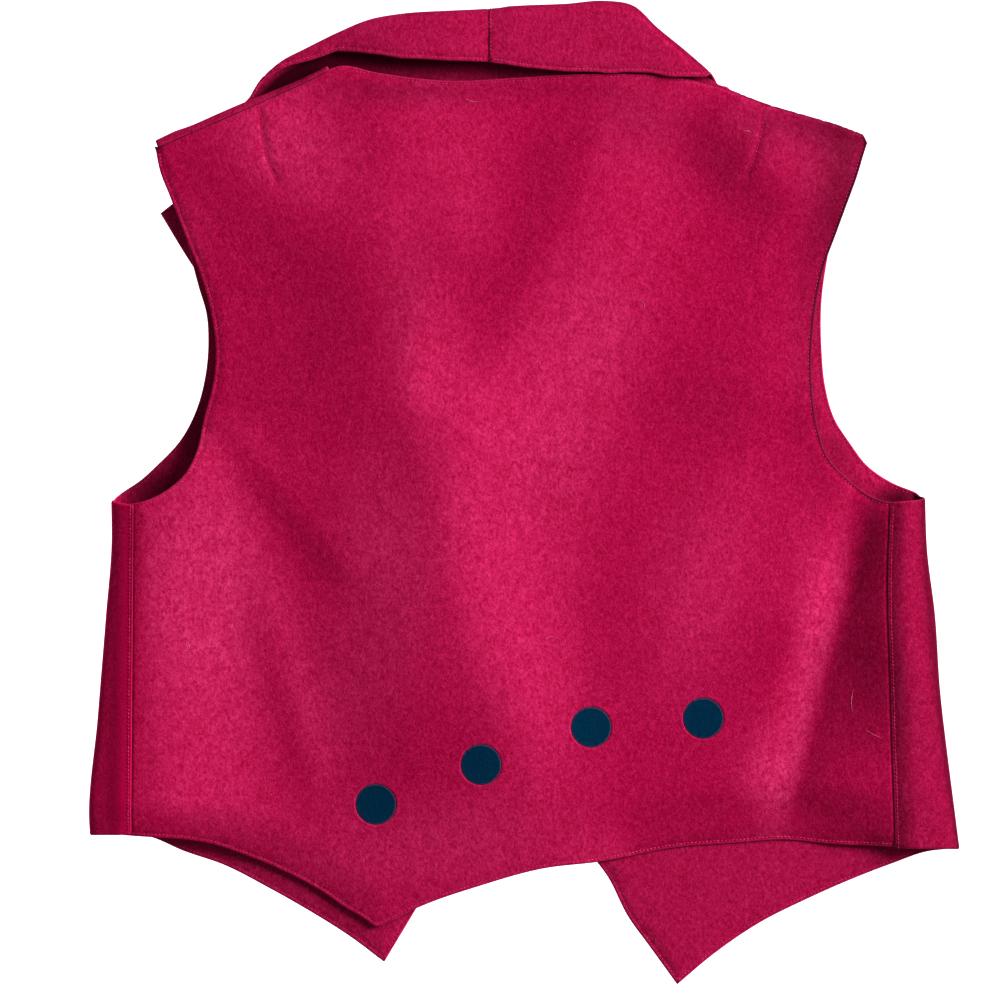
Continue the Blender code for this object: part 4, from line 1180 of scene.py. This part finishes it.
def felt(name, colour, grain=1.0, rim=0.2, sheen=0.02, fibre=PALE_FIBRE):
    """Boiled wool felt: mottled, heathered, curly paler fibres, fuzzy cut edges, painted light and shade."""
    s = Shader(name)
    cloud = s.noise(s.scaled((20, 14, 20)), 3.0, 0.55)
    mottle = s.noise(s.scaled((150, 105, 150)), 3.0, 0.6, 0.4)
    heather = s.noise(s.scaled((560, 400, 560)), 2.0, 0.65, 0.8)
    fine = s.noise(s.scaled((1400, 1050, 1400)), 1.0, 0.6)
    base = s.mix(s.ramp(cloud, 0.3, 0.7), tinted(colour, 0.92), tinted(colour, 1.06))
    base = s.mix(s.ramp(mottle, 0.34, 0.70, 0.0, 0.5 * grain), base, tinted(colour, 1.15, 0.05, fibre))
    base = s.mix(s.ramp(heather, 0.50, 0.30, 0.0, 0.7 * grain), base, deep(colour))
    base = s.mix(s.ramp(heather, 0.52, 0.72, 0.0, 0.95 * grain), base, tinted(colour, 1.04, 0.22, fibre))
    coarse, thin = fibre_lines(s, 250, 3.0, 0.04), fibre_lines(s, 400, 11.0, 0.045)
    base = s.mix(s.times(coarse, 0.45 * grain), base, tinted(colour, 1.2, 0.34, fibre))
    base = s.mix(s.times(thin, 0.42 * grain), base, tinted(colour, 1.2, 0.30, fibre))
    base = s.mix(s.ramp(fine, 0.48, 0.28, 0.0, 0.5 * grain), base, deep(colour))
    # Painted highlight on slopes and patches, and an even pale tone on the other pieces, as a pale haze.
    haze = s.times(s.ramp(s.attribute("pale_tone_and_painted_light"), 0.3, 1.1), s.ramp(mottle, 0.25, 0.7, 0.3, 1.0))
    haze = s.times(haze, s.ramp(heather, 0.32, 0.68, 0.25, 1.6))
    base = s.mix(s.times(haze, 0.22 * grain), base, HAZE)
    # Painted light, which lightens the left strip's shaded roll.
    base = s.mix(s.attribute("painted_strip_light"), base, tinted(colour, 1.7))
    # Painted shade, which darkens the colour by the points' shade mark.
    base = s.mix(s.attribute("shade"), base, tinted(colour, 0.08))
    to_edge = s.plus(s.attribute("edge_mm"), s.times(heather, -0.9))
    base = s.mix(s.ramp(to_edge, 0.55, -0.35, 0.0, rim), base, RIM_MAUVE)
    height = s.plus(s.times(mottle, 0.8), s.times(heather, 0.7))
    height = s.plus(height, s.times(s.plus(coarse, thin), 0.10))
    height = s.plus(height, s.times(fine, 0.25))
    return s.finish(base, height, 0.45, 0.0006, {
        "Roughness": 0.95, "Specular IOR Level": 0.03, "Sheen Weight": sheen, "Sheen Roughness": 0.5,
        "Sheen Tint": (*PALE_FIBRE, 1.0)})


def thread_material():
    """Sewing thread, a shade lighter than the felt."""
    s = Shader("thread")
    twist = s.noise(s.scaled((2600, 2600, 2600)), 1.0)
    tone = s.noise(s.scaled((240, 240, 240)), 1.0)
    base = s.mix(s.ramp(tone, 0.4, 0.6), *THREAD_COLOURS)
    return s.finish(base, twist, 0.4, 0.0001, {"Roughness": 0.7, "Specular IOR Level": 0.2})


def lint_material():
    """Pale wool fibres."""
    s = Shader("lint")
    tone = s.noise(s.scaled((300, 300, 300)), 1.0)
    base = s.mix(s.ramp(tone, 0.35, 0.65), *LINT_COLOURS)
    return s.finish(base, tone, 0.2, 0.0001, {"Roughness": 0.7})


def circle(centre, radius):
    """A ring of points round a disc or its hole."""
    angle = np.linspace(0, 2 * math.pi, DISC_SIDES, endpoint=False)
    return centre + radius * np.column_stack((np.cos(angle), np.sin(angle)))


def back_edges():
    """The back's named edges, counter-clockwise."""
    left, right = LEFT_SHOULDER_LINE, RIGHT_SHOULDER_LINE
    along = np.arange(left.length - 3.0, 4.0, -EDGE_STEP)
    left_shoulder = left.place(along, np.full(len(along), -0.5))
    along = np.arange(right.length - 1.5, 0.0, -EDGE_STEP)
    right_shoulder = right.place(along, np.full(len(along), math.pi / 2 * RIGHT_SHOULDER_ROLL))
    return {
        "armhole_left": photo_curve(LEFT_BACK_ARMHOLE), "side_left": photo_curve(BACK_SIDES["left"]),
        "hem": photo_curve(BACK_HEM), "side_right": photo_curve(BACK_SIDES["right"]),
        "armhole_right": photo_curve(RIGHT_BACK_ARMHOLE), "shoulder_right": right_shoulder,
        "neck": photo_curve(BACK_NECK), "shoulder_left": left_shoulder}


def seam_press(flat):
    """How much thinner the back is where the fronts' side strips lap it."""
    left = flat[:, 0] - at_height(SEAM_LINE["left"], flat[:, 1])
    right = at_height(SEAM_LINE["right"], flat[:, 1]) - flat[:, 0]
    below = flat[:, 1] < up(STRIP_TOP["left"]) + 2.0
    return SEAM_PRESS * falloff(np.minimum(left, right), 0.3, 0.9) * below


def sewn_distance(flat, paths):
    """Distance of pattern points from the nearest sewn line."""
    tree = tree_of(np.concatenate([dense(path, 0.4) for path in paths]))
    return away_from(tree, flat)


def build_back(cloth, thread):
    """The back panel, with its darts, the holes for the discs and its sewing."""
    edges = back_edges()
    outline = refine(join(edges.values()), back_surface)
    centres = from_pixels(DISC_CENTRES)
    holes = [circle(centre, DISC_WIDTH / 2 + DISC_GAP) for centre in centres]
    darts = [photo_curve(dart, 2.0) for dart in DARTS]
    lines = [dart + (shift, 0) for dart in darts for shift in (-2.2, -1.1, -0.5, 0, 0.5, 1.1, 2.2)]
    y = np.arange(up(832), up(507), 3.0)
    for side, inward in INWARD.items():
        seam = at_height(SEAM_LINE[side], y)
        lines += [np.column_stack((seam + inward * shift, y)) for shift in SEAM_LINES]
    right = RIGHT_SHOULDER_LINE
    for share in (0.0, 0.2, 0.4, 0.6, 0.8):
        along = np.arange(0, right.length - 4, 4.0)
        lines.append(right.place(along, np.full(len(along), share * math.pi / 2 * RIGHT_SHOULDER_ROLL)))
    hem = tree_of(dense(edges["hem"]))

    def sunk(q):
        """How far the hem is pressed down where it lies on a front, against the direction of its face."""
        to_hem = away_from(hem, q)
        corner = bell(q[:, 0], across(HEM_CORNER), CORNER_REACH)
        pressed_down = HEM_SINK * smooth(by_x(PRESSED_HEM, q[:, 0], 2)) + CORNER_SINK * corner
        droop = by_x(HEM_DROOP, q[:, 0], 1) * falloff(to_hem, 0, DROOP_REACH)
        return -pressed_down * falloff(to_hem, SINK_INSET, HEM_FADE) - droop

    def hem_thinning(down, q):
        """How much thinner the hem is where it is pressed onto the right front."""
        return np.minimum(-HEM_THINNING * down, MOST_THINNING) * (q[:, 0] > across(530))

    names = ("armhole_left", "hem", "armhole_right", "neck")
    sewn = [inset_path(edges[name], STITCH_INSET) for name in names]
    sewn += [dart + (SEAM_INSET, 0) for dart in darts]
    pattern = mesh_pattern(outline, holes, lines, BACK_STEP)
    flat, _, edge = pattern
    to_disc = np.linalg.norm(flat[:, None] - centres[None], axis=2).min(axis=1) - DISC_WIDTH / 2
    pressed = np.maximum(seam_press(flat), hem_thinning(sunk(flat), flat))
    # Painted light and painted shade on the back, from its patches, the right fold, its lean and its rim.
    pale, painted_shade = painted_light_patches(flat)
    fold_painted_light, fold_painted_shade = right_fold_painted_light(flat)
    painted_light = np.clip(LEAN_PAINTED_LIGHT * pale_tone_and_painted_light(back_surface, flat) + pale + fold_painted_light, 0, 1.2)
    # Painted shade on the back's raw edge at its upper right, where the key light falls on it.
    upper_right = (flat[:, 0] > across(700)) & (flat[:, 1] > up(600))
    rim_shade = RIM_PAINTED_SHADE * bell(edge, 0, RIM_REACH) * upper_right
    turned = turned_shade("back", back_surface, flat)
    marks = {"pale_tone_and_painted_light": painted_light, "shade": np.maximum(PATCH_PAINTED_SHADE * painted_shade + fold_painted_shade + rim_shade, turned)}
    piece = add_felt("back_felt", pattern, back_surface, sewn, cloth, marks, sunk, pressed,
                     DISC_CRISP * (to_disc < 2.0))
    return piece, add_stitches("back_stitches", sewn, back_surface, sunk, thread)


def front_outline(side):
    """The edges of a front's pattern, with its lapel turned out flat and its side strip opened."""
    neck, break_point = from_pixels(ROLL_LINE[side])
    lapel = lapel_pattern(side, photo_curve(LAPEL_EDGE[side])[1:])
    gorge_end = lapel_pattern(side, from_pixels(GORGE[side])[:1] + (0, -0.5))
    gorge = curve(np.vstack((lapel[-1], gorge_end[0])))
    top, foot = up(STRIP_TOP[side]), up(STRIP_FOOT[side])
    y = np.linspace(top, foot, 64)
    strip = np.column_stack((strip_pattern(side, at_height(SEAM_LINE[side], y), y), y))
    crossing = from_pixels([CROSSING])
    if side == "left":
        line = LEFT_SHOULDER_LINE
        along = np.arange(line.length - 1.0, 1.0, -EDGE_STEP)
        radius, _ = left_shoulder_roll(line, along)
        return {
            "strip": strip, "hem": photo_curve(LEFT_FRONT_HEM)[:-1], "front": photo_curve(LEFT_FRONT_EDGE),
            "crossing": np.vstack((crossing, [break_point])), "lapel": lapel, "gorge": gorge,
            "neck": np.vstack(([neck], line.place(np.array([line.length - 1.0]), np.array([-2.0])))),
            "flap": line.place(along, math.pi * radius + 0.15),
            "tip": line.place(np.array([1.0]), np.array([0.5])),
            "armhole": photo_curve(LEFT_FRONT_ARMHOLE)[::-1],
            "underarm": np.array([(at_height(SIDE_LINE[side], top), up(500))])}
    line = RIGHT_SHOULDER_LINE
    along = np.arange(line.length - 4.0, 2.0, -EDGE_STEP)
    shoulder = line.place(along, np.full(len(along), RIGHT_SHOULDER_ROLL - FELT / 2 - 0.35))
    return {
        "strip": strip[::-1], "underarm": np.array([(at_height(SIDE_LINE[side], top), up(496.5))]),
        "armhole": photo_curve(RIGHT_FRONT_ARMHOLE)[1:][::-1], "shoulder": shoulder,
        "neck": np.array([neck]), "gorge": gorge[::-1], "lapel": lapel[::-1],
        "crossing": np.vstack(([break_point], crossing)), "front": photo_curve(RIGHT_FRONT_EDGE)[:-1],
        "hem": photo_curve(RIGHT_FRONT_HEM)}


def side_fold_lines(side):
    """Fold lines of a front's side, on its pattern."""
    inward = INWARD[side]
    low_reach = SIDE_FOLD[side][0]
    y = np.linspace(up(STRIP_TOP[side]) + 4, up(STRIP_FOOT[side]) - 4, 60)
    outline, _, _, _, _, low_length, high_length = side_fold_sizes(side, y)
    lines = []
    for share in np.linspace(0, 1, 8):
        lines.append(np.column_stack((outline + inward * (low_reach - low_length * share), y)))
    for share in np.linspace(0, 1, 10)[1:]:
        lines.append(np.column_stack((outline + inward * (low_reach - low_length - high_length * share), y)))
    return lines


def pocket_shade(side, places):
    """Painted shade on a front's low-lying points in its pockets."""
    shade = np.zeros(len(places))
    for *oval, top, depth in POCKET_PAINTED_SHADE[side]:
        shade = np.maximum(shade, depth * patch(places[:, :2], *oval) * (places[:, 2] < top))
    return shade


def left_strip_painted_light(places):
    """Painted light on the left strip's shaded roll: more towards its seam."""
    line = at_height(SIDE_LINE["left"], places[:, 1])
    share = (places[:, 0] - line) / (at_height(SEAM_LINE["left"], places[:, 1]) - line)
    return (0.1 + 0.65 * smooth((share - 0.15) / 0.7)) * (share < 1.1) * (places[:, 2] > 3.0)


def build_front(side, cloth, thread):
    """A front panel: one piece with its lapel and the strip that laps the back at the side seam."""
    surface = front_surface(side)
    roll = roll_line(side)
    edges = front_outline(side)
    outline = refine(join(edges.values()), surface)
    lines = side_fold_lines(side)
    along = np.arange(0, roll.length, 5.0)
    for share in np.linspace(0, 1, 7):
        lines.append(roll.place(along, np.full(len(along), share * math.pi * ROLL)))
    if side == "left":
        along = np.arange(2.0, LEFT_SHOULDER_LINE.length - 2.0, 4.0)
        radius, _ = left_shoulder_roll(LEFT_SHOULDER_LINE, along)
        for share in np.linspace(0, 0.9, 9):
            lines.append(LEFT_SHOULDER_LINE.place(along, share * math.pi * radius))
    names = ["strip", "hem", "front", "lapel", "armhole"]
    sewn = [inset_path(edges[name], STITCH_INSET) for name in names]
    pattern = mesh_pattern(outline, [], lines, FRONT_STEP)
    flat = pattern[0]
    lapping = [edges[name] for name in ("strip", "flap") if name in edges]
    lapping = tree_of(np.concatenate([dense(path) for path in lapping]))

    def sunk(q):
        """How far an edge that laps the back is sewn down into it."""
        return LAP_SINK * falloff(away_from(lapping, q), SINK_INSET, LAP_FADE)

    places = surface(flat)
    # Painted shade where a front turns towards the key light and in its pockets; painted light on the left
    # strip.
    shade = np.maximum(turned_shade("front", surface, flat, -1), pocket_shade(side, places))
    painted_strip_light = left_strip_painted_light(places) * (side == "left")
    marks = {"shade": shade, "pale_tone_and_painted_light": np.where(painted_strip_light > 0, 0.0, PLAIN_WORN), "painted_strip_light": painted_strip_light}
    pressed = SEAM_PRESS / LAP_SINK * sunk(flat)
    piece = add_felt(f"front_{side}_felt", pattern, surface, sewn, cloth, marks, sunk, pressed)
    return piece, add_stitches(f"front_{side}_stitches", sewn, surface, sunk, thread)


def build_collar(side, cloth, thread):
    """One half of the collar: stand, fold and fall, lapped at the centre of the neck."""
    collar = Collar()
    first, last = (0.0, collar.seam + COLLAR_LAP) if side == "left" else (collar.seam, collar.t[-1])
    t = np.linspace(first, last, round((last - first) / EDGE_STEP) + 1)
    under = np.column_stack((t, -(collar.under_length(t) - 0.3)))
    top = np.column_stack((t, collar.top_length(t)))[::-1]
    outline = refine(join([under, top]), collar.place)
    lines = []
    line_t = np.arange(first + 1, last, 3.5)
    roll = np.maximum(np.interp(line_t, collar.t, collar.roll), ROLL)
    for share in np.linspace(0, 1, 9):
        lines.append(np.column_stack((line_t, math.pi * roll * share)))
    offset = collar.under_lap if side == "left" else collar.over_lap
    sewn = [inset_path(top, STITCH_INSET)]
    if side == "right":
        y = np.arange(-collar.under_length(collar.seam + np.zeros(1))[0] + 2,
                      collar.top_length(collar.seam) - 1, 1.0)
        sewn.append(np.column_stack((np.full(len(y), collar.seam + SEAM_INSET), y)))
    pattern = mesh_pattern(outline, [], lines, COLLAR_STEP)
    flat = pattern[0]
    # Painted shade on the collar's inner face and where it turns towards the key light.
    shown_face = np.where(flat[:, 1] > 0, -1, 1)
    shade = np.maximum(collar.shade(flat), turned_shade("collar", collar.place, flat, shown_face))
    marks = {"shade": shade, "pale_tone_and_painted_light": np.full(len(flat), PLAIN_WORN)}
    piece = add_felt(f"collar_{side}_felt", pattern, collar.place, sewn, cloth, marks, offset,
                     collar.pressed(flat, side))
    return piece, add_stitches(f"collar_{side}_stitches", sewn, collar.place, offset, thread)


def build_disc(number, centre, cloth):
    """A navy disc set into its hole in the back."""
    pattern = mesh_pattern(circle(centre, DISC_WIDTH / 2), [], [], DISC_STEP)
    return add_felt(f"disc_{number}_felt", pattern, disc_surface, [], cloth, {}, crisp=DISC_CRISP)


def add_camera():
    """Straight above the photograph's centre."""
    data = bpy.data.cameras.new("camera")
    x, y = from_pixels([PHOTO_CENTRE])[0] / 1000
    data.sensor_width = SENSOR_WIDTH
    data.lens = SENSOR_WIDTH * CAMERA_HEIGHT / (PHOTO_PIXELS * MM_PER_PIXEL / 1000)
    camera = add_object("camera", data)
    camera.location = (x, y, CAMERA_HEIGHT + MEAN_HEIGHT)
    bpy.context.scene.camera = camera


def add_floor_light():
    """An even light from above for the floor."""
    data = bpy.data.lights.new("floor_light", "SUN")
    data.energy = FLOOR_POWER
    data.use_shadow = False
    return add_object("floor_light", data)


def add_key_light():
    """A soft square light, low at the right, that looks at the vest."""
    data = bpy.data.lights.new("key", "AREA")
    data.shape = "SQUARE"
    data.size = KEY_SIZE
    data.energy = KEY_POWER
    light = add_object("key", data)
    azimuth, elevation = math.radians(KEY_AZIMUTH), math.radians(KEY_ELEVATION)
    reach = KEY_DISTANCE * math.cos(elevation)
    height = KEY_DISTANCE * math.sin(elevation)
    light.location = (reach * math.cos(azimuth), reach * math.sin(azimuth), height)
    light.rotation_euler = (math.pi / 2 - elevation, 0, azimuth + math.pi / 2)
    return light


def light_only(light, pieces):
    """Keeps a light to some pieces, as a flag or a screen does in a studio."""
    lit = bpy.data.collections.new(light.name + "_lit")
    for piece in pieces:
        lit.objects.link(piece)
    light.light_linking.receiver_collection = lit


def add_stage(pieces):
    """A pale floor, a pale surround and soft studio light."""
    floor_material = bpy.data.materials.new("floor")
    floor_material.use_nodes = True
    shader = floor_material.node_tree.nodes["Principled BSDF"]
    shader.inputs["Base Color"].default_value = (*FLOOR_COLOUR, 1.0)
    shader.inputs["Roughness"].default_value = 0.9
    shader.inputs["Specular IOR Level"].default_value = 0.1
    corners = np.array([(-1, -1, 0), (1, -1, 0), (1, 1, 0), (-1, 1, 0)]) * FLOOR_HALF
    floor = add_mesh("floor", corners, np.array([(0, 1, 2), (0, 2, 3)]), floor_material)
    world = bpy.data.worlds.new("studio")
    world.use_nodes = True
    world.node_tree.nodes["Background"].inputs["Color"].default_value = (1.0, 1.0, 1.0, 1.0)
    world.node_tree.nodes["Background"].inputs["Strength"].default_value = FILL_STRENGTH
    bpy.context.scene.world = world
    light_only(add_key_light(), pieces)
    light_only(add_floor_light(), [floor])
    view = bpy.context.scene.view_settings
    view.view_transform = "Standard"
    view.gamma = VIEW_GAMMA
    view.exposure = VIEW_EXPOSURE


def dress(piece, node, extras=()):
    """Puts a piece and its extras in place of its CAD node, and hides the node."""
    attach(piece, "root")
    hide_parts(node)
    for extra in extras:
        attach(extra, "root")


def main():
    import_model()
    crimson = felt("crimson_felt", CRIMSON)
    navy = felt("navy_felt", NAVY, grain=0.3, rim=0.3, sheen=0.0, fibre=NAVY_FIBRE)
    thread = thread_material()
    back, stitches = build_back(crimson, thread)
    dress_up = {"back": (back, [stitches, add_lint(lint_material())])}
    for side in ("left", "right"):
        front, stitches = build_front(side, crimson, thread)
        dress_up[f"front_{side}"] = (front, [stitches])
        collar, stitches = build_collar(side, crimson, thread)
        dress_up[f"collar_{side}"] = (collar, [stitches])
    pieces = []
    for node, (piece, extras) in dress_up.items():
        dress(piece, node, extras)
        pieces += [piece, *extras]
    for number, centre in enumerate(from_pixels(DISC_CENTRES), 1):
        pieces.append(build_disc(number, centre, navy))
        dress(pieces[-1], f"disc_{number}")
    add_camera()
    add_stage(pieces)


main()
